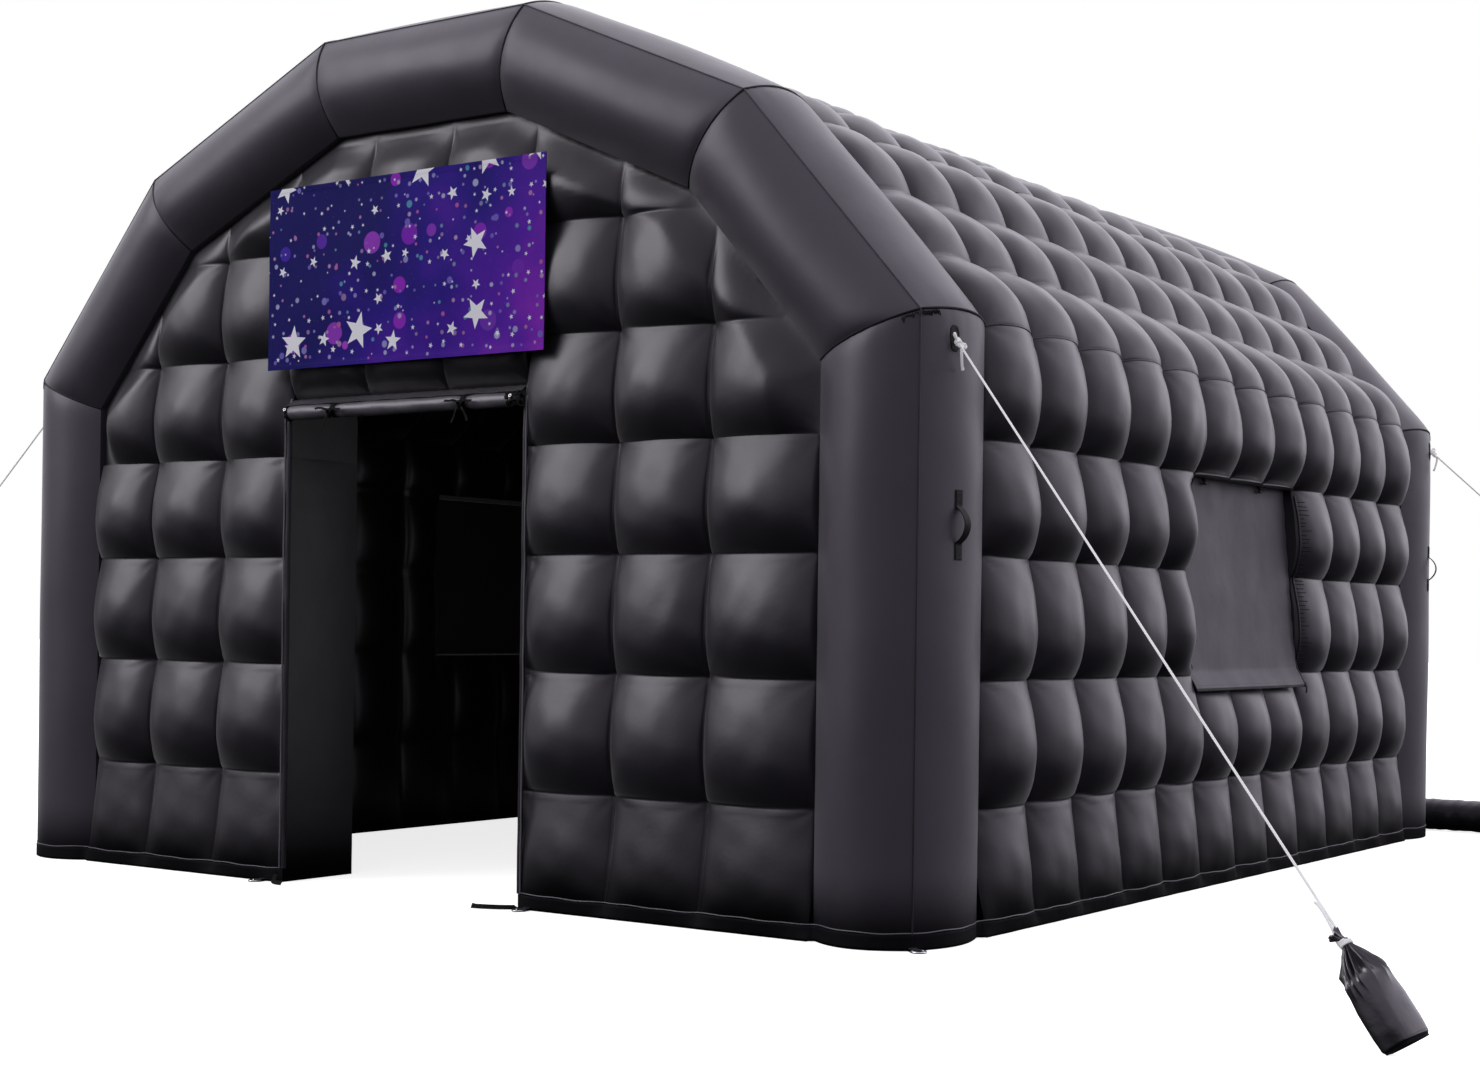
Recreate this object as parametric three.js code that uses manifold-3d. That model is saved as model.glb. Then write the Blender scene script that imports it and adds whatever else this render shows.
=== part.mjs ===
// Inflatable party tent: a walk-in hall of quilted air panels held between two air-filled arches.
// Units are millimetres. X runs across the front, Y from the front to the back, Z is up.
// The origin lies on the ground in the middle of the tent. Each piece is a closed solid.

import * as THREE from 'three';
import Module from 'manifold-3d';
import { mergeVertices } from 'three/addons/utils/BufferGeometryUtils.js';

const wasm = await Module();
wasm.setup();

// Driving sizes of the tent. The seam lines of the arches give its outline.
const HALF_WIDTH = 2500; // middle to the outer seam of a leg
const EAVE_Z = 2350; // height of the eave seam
const HIP_X = 1700; // joint between the lower and the upper roof slope
const HIP_Z = 3255;
const CROWN_X = 580; // joint between the upper slope and the flat crown
const CROWN_Z = 3750;
const LENGTH = 6000; // front seam to back seam
const FRONT_Y = -2974; // the front seam plane; the banner and anchors reach in front of it
const BACK_Y = FRONT_Y + LENGTH;
const GAP = 0.3; // distance kept between neighbouring pieces

// The arch tubes: four panels with a seam at each corner. The front and outer panels bulge.
const TUBE_WIDE = 430; // from the outer seam towards the inside of the tent
const TUBE_DEEP = 490; // from the front seam towards the back
const FACE_BULGE = 100; // how far the front panel stands proud of its two seams
const SIDE_BULGE = 65; // the same for the outer panel
const SWELL = 1.12; // a segment is fatter in its middle than at its joints
const ARC_STEPS = 4; // flat strips across one bulging panel

// The quilted panels: two skins tied together at tufts, so that the cells swell between them.
const PANEL_THICK = 400; // between the seam planes of the two skins
const ROOF_SINK = 40; // the roof's upper seams inside the arch outline
const TUFT_DEEP = -30; // the outer skin at a tuft, from its seam plane
const CREST = 100; // the outer skin at the middle of a cell
const INNER_TUFT = -30; // the same two for the inner skin
const INNER_CREST = 40;
const CREASE = 0.25; // height of an upright crease between two tufts, as a share of the crest
const SADDLE = 0.6; // height of the soft dip between two cells of a column, as a share
const CLOSED_EDGE = 0.15; // the same where a column ends at the doorway or a window
const BASE_LEVEL = 0.6; // height of a panel's straight lower edge, as a share of the crest
const ROUNDNESS = 0.75;
const CELL_STEPS = 3; // facets along one side of an outer cell
const THIRD_HEIGHT = (8 / 9) ** ROUNDNESS;

// Cell lines. The doorway and the front quilting stand 50 mm left of the middle.
const FRONT_COLUMNS = [-2070, -1660, -1200, -740, -280, 180, 640, 1100, 1560, 2070];
const DOOR_LEFT = -740;
const DOOR_RIGHT = 640;
const DOOR_TOP = 2170;
const WALL_ROWS = [0, 490, 980, 1460, 1910, EAVE_Z];
const PANEL_TOP = 1910; // row line where the gable meets the wall panels beside the door
const GABLE_ROWS = [PANEL_TOP, 2360, 2820, 3280, 3740];
const SIDE_COLUMN_COUNT = 12;
const SLOPE_ROW_COUNT = 3;
const BACK_COLUMN_COUNT = 9;
const SEAM_FALL = 150; // the gable's cells flatten over this distance towards the arch

// A window takes the place of cells in two rows of each side wall.
const WINDOW_LOW = 980;
const WINDOW_HIGH = 1910;
const WINDOW_FIRST_CELL = 4; // the opening starts two thirds along this cell
const WINDOW_LAST_CELL = 7;

const COLOURS = {
  cloth: 0x39373c,
  banner: 0x3a1f86,
  cover: 0x514e55,
  webbing: 0x111113,
  metal: 0xc9cbd0,
  rope: 0xf1f0ec,
  sack: 0x2b2a2e,
};

function material(colour, roughness = 0.45, metalness = 0) {
  return new THREE.MeshStandardMaterial({ color: COLOURS[colour], roughness, metalness });
}

const group = new THREE.Group();

function add(name, geometry, finish) {
  const mesh = new THREE.Mesh(geometry, finish);
  mesh.name = name;
  group.add(mesh);
  return mesh;
}

// A closed geometry from points and triangles, turned so that its faces point outwards.
function closed(points, triangles) {
  let volume = 0;
  for (const [a, b, c] of triangles) {
    volume += points[a].dot(new THREE.Vector3().crossVectors(points[b], points[c]));
  }
  const turned = volume < 0 ? triangles.map(([a, b, c]) => [a, c, b]) : triangles;
  const geometry = new THREE.BufferGeometry();
  geometry.setAttribute(
    'position',
    new THREE.Float32BufferAttribute(points.flatMap((p) => [p.x, p.y, p.z]), 3),
  );
  geometry.setIndex(turned.flat());
  return geometry;
}

// A skin over a row of rings with the same number of points, capped at both ends.
function loft(rings) {
  const count = rings[0].length;
  const points = rings.flat();
  const triangles = [];
  for (let r = 0; r < rings.length - 1; r += 1) {
    for (let k = 0; k < count; k += 1) {
      const a = r * count + k;
      const b = r * count + ((k + 1) % count);
      triangles.push([a, b, b + count], [a, b + count, a + count]);
    }
  }
  const last = (rings.length - 1) * count;
  for (let k = 1; k < count - 1; k += 1) {
    triangles.push([0, k + 1, k], [last, last + k, last + k + 1]);
  }
  return closed(points, triangles);
}

// A skin over rings that follow one another round a closed loop.
function loopLoft(rings) {
  const count = rings[0].length;
  const triangles = [];
  for (let r = 0; r < rings.length; r += 1) {
    const here = r * count;
    const next = ((r + 1) % rings.length) * count;
    for (let k = 0; k < count; k += 1) {
      const after = (k + 1) % count;
      triangles.push([here + k, here + after, next + after], [here + k, next + after, next + k]);
    }
  }
  return closed(rings.flat(), triangles);
}

// A closed loop of wire along a ring of points that lie in one plane.
function wireLoop(path, radius, sides, normal = new THREE.Vector3(0, 0, 1)) {
  const n = path.length;
  const rings = path.map((point, i) => {
    const along = path[(i + 1) % n].clone().sub(path[(i + n - 1) % n]).normalize();
    const across = new THREE.Vector3().crossVectors(normal, along);
    return Array.from({ length: sides }, (_, k) => {
      const turn = (2 * Math.PI * k) / sides;
      const spot = point.clone().addScaledVector(across, radius * Math.cos(turn));
      return spot.addScaledVector(normal, radius * Math.sin(turn));
    });
  });
  return loopLoft(rings);
}

function toSolid(geometry) {
  const bare = geometry.clone();
  bare.deleteAttribute('normal');
  bare.deleteAttribute('uv');
  const merged = mergeVertices(bare, 1e-4);
  return new wasm.Manifold(
    new wasm.Mesh({
      numProp: 3,
      vertProperties: new Float32Array(merged.attributes.position.array),
      triVerts: new Uint32Array(merged.index.array),
    }),
  );
}

function fromSolid(solid) {
  const mesh = solid.getMesh();
  const geometry = new THREE.BufferGeometry();
  geometry.setAttribute('position', new THREE.Float32BufferAttribute(mesh.vertProperties, 3));
  geometry.setIndex(Array.from(mesh.triVerts));
  return geometry;
}

// The arch outline in the XZ plane, from the right leg's foot over the crown to the left foot.
const OUTLINE = [
  [HALF_WIDTH, 0],
  [HALF_WIDTH, EAVE_Z],
  [HIP_X, HIP_Z],
  [CROWN_X, CROWN_Z],
  [-CROWN_X, CROWN_Z],
  [-HIP_X, HIP_Z],
  [-HALF_WIDTH, EAVE_Z],
  [-HALF_WIDTH, 0],
].map(([x, z]) => new THREE.Vector2(x, z));
const SPANS = [
  'right_leg',
  'right_lower_slope',
  'right_upper_slope',
  'crown',
  'left_upper_slope',
  'left_lower_slope',
  'left_leg',
];

function spanNormal(index) {
  const along = OUTLINE[index + 1].clone().sub(OUTLINE[index]).normalize();
  return new THREE.Vector2(along.y, -along.x);
}

// The direction in which a joint's seam moves when the outline grows by one unit.
function mitre(index) {
  if (index === 0) return spanNormal(0);
  if (index === OUTLINE.length - 1) return spanNormal(index - 1);
  const before = spanNormal(index - 1);
  const after = spanNormal(index);
  return before.clone().add(after).divideScalar(1 + before.dot(after));
}

function outlineInset(distance) {
  return OUTLINE.map((point, i) => point.clone().addScaledVector(mitre(i), -distance));
}

// The arch tubes.

function bulge(t) {
  return 1 - (2 * t - 1) ** 2;
}

// One tube section as [outward, back] pairs, going round from the outer front seam.
function tubeSection(swell) {
  const section = [];
  for (let k = 0; k < ARC_STEPS; k += 1) {
    const t = k / ARC_STEPS;
    section.push([-TUBE_WIDE * t, -FACE_BULGE * bulge(t) * swell]);
  }
  section.push([-TUBE_WIDE, 0], [-TUBE_WIDE, TUBE_DEEP]);
  for (let k = ARC_STEPS; k > 0; k -= 1) {
    const t = k / ARC_STEPS;
    section.push([SIDE_BULGE * bulge(t) * swell, TUBE_DEEP * t]);
  }
  return section;
}

function tubeSegment(index, seamY, inward) {
  const start = OUTLINE[index];
  const end = OUTLINE[index + 1];
  const along = end.clone().sub(start).normalize();
  const stations = [
    { spot: start.clone().addScaledVector(along, GAP / 2), aim: mitre(index), swell: 1 },
    { spot: start.clone().lerp(end, 0.5), aim: spanNormal(index), swell: SWELL },
    { spot: end.clone().addScaledVector(along, -GAP / 2), aim: mitre(index + 1), swell: 1 },
  ];
  if (start.y === 0) stations[0].spot = start.clone();
  if (end.y === 0) stations[2].spot = end.clone();
  const rings = stations.map(({ spot, aim, swell }) =>
    tubeSection(swell).map(([out, back]) => {
      const place = spot.clone().addScaledVector(aim, out);
      return new THREE.Vector3(place.x, seamY + inward * back, place.y);
    }),
  );
  return loft(rings);
}

// The quilting. A cell's shape runs from 0 at its tufts to 1 over its middle. The columns are
// parted by deep upright creases, and the cells of one column by softer dips.

function swellAcross(t) {
  return Math.min(1, Math.max(0, 1 - (2 * t - 1) ** 2) ** ROUNDNESS / THIRD_HEIGHT);
}

function pillow(a, b, lowSaddle = SADDLE, highSaddle = SADDLE) {
  const across = swellAcross(a);
  const up = swellAcross(b);
  const saddle = b < 0.5 ? lowSaddle : highSaddle;
  return across * (saddle + (1 - saddle) * up) + CREASE * (1 - across) * up;
}

// Along the ground the skin hangs straight, so the lowest row opens towards its lower edge.
function footPillow(a, b) {
  const ground = (1 - b) ** 2;
  return (1 - ground) * pillow(a, 0.5 + b / 2) + ground * BASE_LEVEL;
}

function cellOf(lines, value) {
  let index = 0;
  while (index < lines.length - 2 && value > lines[index + 1]) index += 1;
  return { index, share: (value - lines[index]) / (lines[index + 1] - lines[index]) };
}

function evenLines(low, high, count) {
  return Array.from({ length: count + 1 }, (_, k) => low + ((high - low) * k) / count);
}

function splitLines(lines, steps) {
  return lines.flatMap((line, k) =>
    k === lines.length - 1
      ? [line]
      : Array.from({ length: steps }, (_, s) => line + ((lines[k + 1] - line) * s) / steps),
  );
}

function skinHeight(shape, tuft, crest) {
  return tuft + (crest - tuft) * shape;
}

function sortedUnion(lines, extra) {
  return [...new Set([...lines, ...extra])].sort((a, b) => a - b);
}

// Closes the rim between a run of outer points and a run of inner points in one plane.
function closeRim(triangles, outer, inner) {
  let i = 0;
  let j = 0;
  while (i < outer.length - 1 || j < inner.length - 1) {
    const outerNext = i < outer.length - 1 ? outer[i + 1].share : Infinity;
    const innerNext = j < inner.length - 1 ? inner[j + 1].share : Infinity;
    if (outerNext <= innerNext) {
      triangles.push([outer[i + 1].id, outer[i].id, inner[j].id]);
      i += 1;
    } else {
      triangles.push([inner[j].id, inner[j + 1].id, outer[i].id]);
      j += 1;
    }
  }
}

// A quilted slab. columns and rows are the cell lines, shape gives a cell's form from 0 to 1,
// and outerAt and innerAt put a point of a skin in space. hole leaves out a rectangle.
function quiltSlab({ columns, rows, shape, outerAt, innerAt, hole = null }) {
  const points = [];
  const triangles = [];
  const fineU = splitLines(columns, CELL_STEPS);
  const fineV = splitLines(rows, CELL_STEPS);
  const coarseU = hole ? sortedUnion(columns, [hole.u0, hole.u1]) : columns;
  const inHole = (u, v) => hole !== null && u > hole.u0 && u < hole.u1 && v > hole.v0 && v < hole.v1;
  const put = (point) => points.push(point) - 1;
  const outerId = fineU.map((u) =>
    fineV.map((v) => (inHole(u, v) ? -1 : put(outerAt(u, v, skinHeight(shape(u, v), TUFT_DEEP, CREST))))),
  );
  const innerPoint = (u, v) => put(innerAt(u, v, skinHeight(shape(u, v), INNER_TUFT, INNER_CREST)));
  const innerId = coarseU.map((u) => rows.map((v) => (inHole(u, v) ? -1 : innerPoint(u, v))));

  for (let i = 0; i < fineU.length - 1; i += 1) {
    for (let j = 0; j < fineV.length - 1; j += 1) {
      if (inHole((fineU[i] + fineU[i + 1]) / 2, (fineV[j] + fineV[j + 1]) / 2)) continue;
      const [a, b, c, d] = [outerId[i][j], outerId[i + 1][j], outerId[i + 1][j + 1], outerId[i][j + 1]];
      const leaning = (i % CELL_STEPS === 0) === (j % CELL_STEPS === 0);
      triangles.push(...(leaning ? [[a, b, c], [a, c, d]] : [[a, b, d], [b, c, d]]));
    }
  }
  for (let i = 0; i < coarseU.length - 1; i += 1) {
    for (let j = 0; j < rows.length - 1; j += 1) {
      const u = (coarseU[i] + coarseU[i + 1]) / 2;
      const v = (rows[j] + rows[j + 1]) / 2;
      if (inHole(u, v)) continue;
      const middle = innerPoint(u, v);
      const ring = [innerId[i][j], innerId[i][j + 1], innerId[i + 1][j + 1], innerId[i + 1][j]];
      ring.forEach((id, k) => triangles.push([id, ring[(k + 1) % ring.length], middle]));
    }
  }

  const within = (list, low, high) =>
    list.map((value, k) => ({ value, k })).filter(({ value }) => value >= low && value <= high);
  const run = (ids, lines, fixed, along, low, high, forward) => {
    const chosen = within(lines, low, high).map(({ value, k }) => ({
      id: along === 'u' ? ids[k][fixed] : ids[fixed][k],
      share: forward ? value - low : high - value,
    }));
    return forward ? chosen : chosen.reverse();
  };
  const rimAlongU = (v, low, high, forward) =>
    closeRim(
      triangles,
      run(outerId, fineU, fineV.indexOf(v), 'u', low, high, forward),
      run(innerId, coarseU, rows.indexOf(v), 'u', low, high, forward),
    );
  const rimAlongV = (u, low, high, forward) =>
    closeRim(
      triangles,
      run(outerId, fineV, fineU.indexOf(u), 'v', low, high, forward),
      run(innerId, rows, coarseU.indexOf(u), 'v', low, high, forward),
    );
  const [u0, u1, v0, v1] = [columns[0], columns.at(-1), rows[0], rows.at(-1)];
  rimAlongU(v0, u0, u1, true);
  rimAlongV(u1, v0, v1, true);
  rimAlongU(v1, u0, u1, false);
  rimAlongV(u0, v0, v1, false);
  if (hole) {
    rimAlongU(hole.v0, hole.u0, hole.u1, false);
    rimAlongV(hole.u0, hole.v0, hole.v1, true);
    rimAlongU(hole.v1, hole.u0, hole.u1, true);
    rimAlongV(hole.u1, hole.v0, hole.v1, false);
  }
  return closed(points, triangles);
}

// The roof's seams lie a little inside the arch outline, except along the eaves.
const ROOF_LINE = OUTLINE.map((point, i) =>
  point.clone().addScaledVector(mitre(i), point.y > EAVE_Z ? -ROOF_SINK : 0),
);

// Places the points of a roof panel, which spans one stretch of the arch outline.
function spanPlacer(index) {
  const normal = spanNormal(index);
  const start = ROOF_LINE[index];
  const end = ROOF_LINE[index + 1];
  const innerStart = start.clone().addScaledVector(mitre(index), -PANEL_THICK);
  const innerEnd = end.clone().addScaledVector(mitre(index + 1), -PANEL_THICK);
  const along = end.clone().sub(start).normalize();
  const length = end.distanceTo(start);
  const aimAt = (v) => {
    if (v === 0) return mitre(index);
    return v === length ? mitre(index + 1) : normal;
  };
  const nudge = (spot, v) => {
    if (v === 0) spot.addScaledVector(along, GAP / 2);
    if (v === length) spot.addScaledVector(along, -GAP / 2);
    return spot;
  };
  const place = (from, to, sign) => (u, v, height) => {
    const spot = nudge(from.clone().lerp(to, v / length), v).addScaledVector(aimAt(v), sign * height);
    return new THREE.Vector3(spot.x, u, spot.y);
  };
  return { length, outerAt: place(start, end, 1), innerAt: place(innerStart, innerEnd, -1) };
}

const SIDE_START = FRONT_Y + TUBE_DEEP + GAP;
const SIDE_END = BACK_Y - TUBE_DEEP - GAP;
const SIDE_COLUMNS = evenLines(SIDE_START, SIDE_END, SIDE_COLUMN_COUNT);

// The window opening, on the facet lines of the wall's own grid.
const WINDOW = {
  u0: splitLines(SIDE_COLUMNS, CELL_STEPS)[WINDOW_FIRST_CELL * CELL_STEPS + 2],
  u1: SIDE_COLUMNS[WINDOW_LAST_CELL + 1],
  v0: WINDOW_LOW,
  v1: WINDOW_HIGH,
};

// A wall's cell form. Beside the window the last cell is only as wide as what is left of it.
function sideWallShape(u, v) {
  const row = cellOf(WALL_ROWS, v);
  const beside = v > WINDOW.v0 && v < WINDOW.v1 && u <= WINDOW.u0 && u > SIDE_COLUMNS[WINDOW_FIRST_CELL];
  const columns = beside ? [SIDE_COLUMNS[WINDOW_FIRST_CELL], WINDOW.u0] : SIDE_COLUMNS;
  const column = cellOf(columns, u);
  const inLine = u >= WINDOW.u0 && u <= WINDOW.u1;
  const low = inLine && WALL_ROWS[row.index] === WINDOW.v1 ? CLOSED_EDGE : SADDLE;
  const high = inLine && WALL_ROWS[row.index + 1] === WINDOW.v0 ? CLOSED_EDGE : SADDLE;
  if (row.index === 0) return footPillow(column.share, row.share);
  return pillow(column.share, row.share, low, high);
}

// Both skins of a side wall share their row heights; only the top edges follow the mitre.
function sideWall(side) {
  const top = mitre(1);
  const skin = (depth, sign) => (u, v, height) => {
    if (v < EAVE_Z) return new THREE.Vector3(side * (HALF_WIDTH - depth + sign * height), u, v);
    const out = sign * height - depth;
    return new THREE.Vector3(side * (HALF_WIDTH + top.x * out), u, v - GAP / 2 + top.y * out);
  };
  return quiltSlab({
    columns: SIDE_COLUMNS,
    rows: WALL_ROWS,
    shape: sideWallShape,
    outerAt: skin(0, 1),
    innerAt: skin(PANEL_THICK, -1),
    hole: WINDOW,
  });
}

function roofPanel(index) {
  const { length, outerAt, innerAt } = spanPlacer(index);
  const rows = evenLines(0, length, SLOPE_ROW_COUNT);
  const shape = (u, v) => pillow(cellOf(SIDE_COLUMNS, u).share, cellOf(rows, v).share);
  return quiltSlab({ columns: SIDE_COLUMNS, rows, shape, outerAt, innerAt });
}

// Front and back walls stand inside the arches. facing is -1 at the front and 1 at the back.
function endPlacer(seamY, facing) {
  return {
    outerAt: (u, v, height) => new THREE.Vector3(u, seamY + facing * height, v),
    innerAt: (u, v, height) => new THREE.Vector3(u, seamY - facing * (PANEL_THICK + height), v),
  };
}

const ARCH_INSIDE = outlineInset(TUBE_WIDE + GAP);

// Distance from a point to the nearest stretch of the arch's inside edge.
function distanceToArch(u, v) {
  const spot = new THREE.Vector3(u, v, 0);
  const nearest = new THREE.Vector3();
  let least = Infinity;
  for (let k = 0; k < ARCH_INSIDE.length - 1; k += 1) {
    const from = new THREE.Vector3(ARCH_INSIDE[k].x, ARCH_INSIDE[k].y, 0);
    const to = new THREE.Vector3(ARCH_INSIDE[k + 1].x, ARCH_INSIDE[k + 1].y, 0);
    new THREE.Line3(from, to).closestPointToPoint(spot, true, nearest);
    least = Math.min(least, nearest.distanceTo(spot));
  }
  return least;
}

function insideArch(u, v) {
  const polygon = ARCH_INSIDE.map((p) => [p.x, p.y]);
  let inside = false;
  for (let i = 0, j = polygon.length - 1; i < polygon.length; j = i, i += 1) {
    const [xi, yi] = polygon[i];
    const [xj, yj] = polygon[j];
    if (yi > v !== yj > v && u < ((xj - xi) * (v - yi)) / (yj - yi) + xi) inside = !inside;
  }
  return inside;
}

function archFall(u, v) {
  return insideArch(u, v) ? Math.min(1, distanceToArch(u, v) / SEAM_FALL) : 0;
}

function wallPanelShape(columns, rows) {
  return (u, v) => {
    const column = cellOf(columns, u);
    const row = cellOf(rows, v);
    return row.index === 0 ? footPillow(column.share, row.share) : pillow(column.share, row.share);
  };
}

function trimEnds(columns, low, high) {
  return [low, ...columns.filter((line) => line > low + 1 && line < high - 1), high];
}

// A prism through an end wall, for cutting a panel to the arch.
function prism(outline, seamY, facing) {
  const shape = new THREE.Shape(outline.map(([x, z]) => new THREE.Vector2(x, z)));
  const geometry = new THREE.ExtrudeGeometry(shape, { depth: 3 * PANEL_THICK, bevelEnabled: false });
  geometry.rotateX(Math.PI / 2);
  geometry.translate(0, seamY - facing * PANEL_THICK * 0.5 + 1.5 * PANEL_THICK, 0);
  return toSolid(geometry);
}

function rectangle(x0, x1, z0, z1) {
  return [[x0, z0], [x1, z0], [x1, z1], [x0, z1]];
}

const LEG_INSIDE = ARCH_INSIDE[0].x;
const WALL_LOW_ROWS = WALL_ROWS.filter((row) => row < PANEL_TOP);

function doorSidePanel(low, high) {
  const columns = trimEnds(FRONT_COLUMNS, low, high);
  const rows = [...WALL_LOW_ROWS, PANEL_TOP - GAP];
  return quiltSlab({
    columns,
    rows,
    shape: wallPanelShape(columns, rows),
    ...endPlacer(FRONT_Y, -1),
  });
}

// The gable fills the arch above the wall panels, with a notch for the top of the doorway.
// Over the doorway its lowest cells start at the lintel.
function frontGable() {
  const columns = trimEnds(FRONT_COLUMNS, -LEG_INSIDE, LEG_INSIDE);
  const lintelRows = [DOOR_TOP, ...GABLE_ROWS.slice(1)];
  const shape = (u, v) => {
    const overDoor = u > DOOR_LEFT && u < DOOR_RIGHT && v >= DOOR_TOP;
    const row = cellOf(overDoor ? lintelRows : GABLE_ROWS, v);
    const low = overDoor && row.index === 0 ? CLOSED_EDGE : SADDLE;
    return pillow(cellOf(columns, u).share, row.share, low) * archFall(u, v);
  };
  const slab = quiltSlab({
    columns,
    rows: [PANEL_TOP, DOOR_TOP, ...GABLE_ROWS.slice(1)],
    shape,
    ...endPlacer(FRONT_Y, -1),
  });
  const outline = ARCH_INSIDE.map((p) => [p.x, Math.max(p.y, PANEL_TOP)]);
  const notch = rectangle(DOOR_LEFT, DOOR_RIGHT, 0, DOOR_TOP);
  const cut = toSolid(slab).intersect(prism(outline, FRONT_Y, -1)).subtract(prism(notch, FRONT_Y, -1));
  return fromSolid(cut);
}

function backWall() {
  const columns = evenLines(-LEG_INSIDE, LEG_INSIDE, BACK_COLUMN_COUNT);
  const rows = [...WALL_LOW_ROWS, ...GABLE_ROWS];
  const plain = wallPanelShape(columns, rows);
  const shape = (u, v) => plain(u, v) * (v > PANEL_TOP ? archFall(u, v) : 1);
  const slab = quiltSlab({ columns, rows, shape, ...endPlacer(BACK_Y, 1) });
  const outline = ARCH_INSIDE.map((p) => [p.x, p.y]);
  return fromSolid(toSolid(slab).intersect(prism(outline, BACK_Y, 1)));
}

// The ground skirt: one strip sewn round the foot of the tent, open at the doorway.

const SKIRT_HEIGHT = 60;
const SKIRT_LIFT = 2;
const SKIRT_THICK = 3;
const SKIRT_OFF = 0.5; // from the foot of the panels
const FOOT_FLARE = 11; // the panels swell this much over the skirt's height
const FOOT_PROUD = skinHeight(BASE_LEVEL, TUFT_DEEP, CREST);

// A leg is fattest halfway up; this is its swell at a height.
function legSwell(z) {
  return 1 + (SWELL - 1) * (1 - Math.abs((2 * z) / EAVE_Z - 1));
}

// Points round one leg, from the end wall to the side wall, for a strip held off by `off`.
function legFoot(off, z, sideX, seamY, facing) {
  const points = [];
  for (let k = ARC_STEPS; k >= 0; k -= 1) {
    const t = k / ARC_STEPS;
    const out = FACE_BULGE * bulge(t) * legSwell(z) + off;
    points.push([HALF_WIDTH - TUBE_WIDE * t + off * (1 - t), out]);
  }
  for (let k = 1; k < ARC_STEPS; k += 1) {
    const t = k / ARC_STEPS;
    points.push([HALF_WIDTH + SIDE_BULGE * bulge(t) * legSwell(z) + off, -TUBE_DEEP * t]);
  }
  return points.map(([x, out]) => [sideX * x, seamY + facing * out]);
}

function skirtLine(off, flare, z) {
  const wallOff = FOOT_PROUD + off + flare;
  const step = 12; // the skirt bends clear of a panel's end over this length
  const rightFront = legFoot(off, z, 1, FRONT_Y, -1);
  const rightBack = legFoot(off, z, 1, BACK_Y, 1).reverse();
  const leftBack = legFoot(off, z, -1, BACK_Y, 1);
  const leftFront = legFoot(off, z, -1, FRONT_Y, -1).reverse();
  const side = HALF_WIDTH + wallOff;
  const inside = HALF_WIDTH - TUBE_WIDE + step;
  return [
    [DOOR_RIGHT, FRONT_Y - wallOff],
    [inside, FRONT_Y - wallOff],
    ...rightFront.slice(1),
    [side, FRONT_Y + TUBE_DEEP - step],
    [side, BACK_Y - TUBE_DEEP + step],
    ...rightBack.slice(0, -1),
    [inside, BACK_Y + wallOff],
    [-inside, BACK_Y + wallOff],
    ...leftBack.slice(1),
    [-side, BACK_Y - TUBE_DEEP + step],
    [-side, FRONT_Y + TUBE_DEEP - step],
    ...leftFront.slice(0, -1),
    [-inside, FRONT_Y - wallOff],
    [DOOR_LEFT, FRONT_Y - wallOff],
  ];
}

function groundSkirt() {
  const low = SKIRT_LIFT;
  const high = SKIRT_HEIGHT;
  const edges = [
    { line: skirtLine(SKIRT_OFF, 0, low), z: low },
    { line: skirtLine(SKIRT_OFF + SKIRT_THICK, 0, low), z: low },
    { line: skirtLine(SKIRT_OFF + SKIRT_THICK, FOOT_FLARE, high), z: high },
    { line: skirtLine(SKIRT_OFF, FOOT_FLARE, high), z: high },
  ];
  return loft(edges[0].line.map((_, k) => edges.map(({ line, z }) => new THREE.Vector3(...line[k], z))));
}

// The banner hangs flat on the gable's crests.

const BANNER = { x0: -800, x1: 800, z0: 2290, z1: 3095, thick: 3, columns: 6, rows: 4, billow: 6 };

function banner() {
  const back = FRONT_Y - CREST - GAP;
  const rings = evenLines(BANNER.x0, BANNER.x1, BANNER.columns).map((x, i) => {
    const heights = evenLines(BANNER.z0, BANNER.z1, BANNER.rows);
    const wave = (k) => BANNER.billow * Math.sin((Math.PI * i) / BANNER.columns) * bulge(k / BANNER.rows);
    const face = heights.map((z, k) => new THREE.Vector3(x, back - BANNER.thick - wave(k), z));
    const rear = heights.map((z, k) => new THREE.Vector3(x, back - wave(k), z)).reverse();
    return [...face, ...rear];
  });
  return stripLoft(rings, BANNER.rows + 1);
}

// A loft of thin double-sided sections, whose ends are closed strip by strip.
function stripLoft(rings, perSide) {
  const count = rings[0].length;
  const points = rings.flat();
  const triangles = [];
  for (let r = 0; r < rings.length - 1; r += 1) {
    for (let k = 0; k < count; k += 1) {
      const a = r * count + k;
      const b = r * count + ((k + 1) % count);
      triangles.push([a, b, b + count], [a, b + count, a + count]);
    }
  }
  const last = (rings.length - 1) * count;
  for (let k = 0; k < perSide - 1; k += 1) {
    const [a, b, c, d] = [k, k + 1, count - 2 - k, count - 1 - k];
    triangles.push([a, c, b], [a, d, c], [last + a, last + b, last + c], [last + a, last + c, last + d]);
  }
  return closed(points, triangles);
}

// The rolled door flap, the strip it hangs from and its two ties.

const ROLL = { radius: 34, y: FRONT_Y - 46, z: DOOR_TOP - 68, inset: 6, sides: 16 };
const TIE_X = [-433, 332];
const TIE_WIDE = 26;
const TIE_THICK = 2.5;
const ROLL_PINCH = 0.8; // the roll's size under a tie
const ROLL_END = 0.86;

function rollSize(x) {
  const nearest = Math.min(...TIE_X.map((tie) => Math.abs(x - tie)));
  const pinch = nearest <= TIE_WIDE ? ROLL_PINCH : 1;
  return ROLL.radius * pinch;
}

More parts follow.
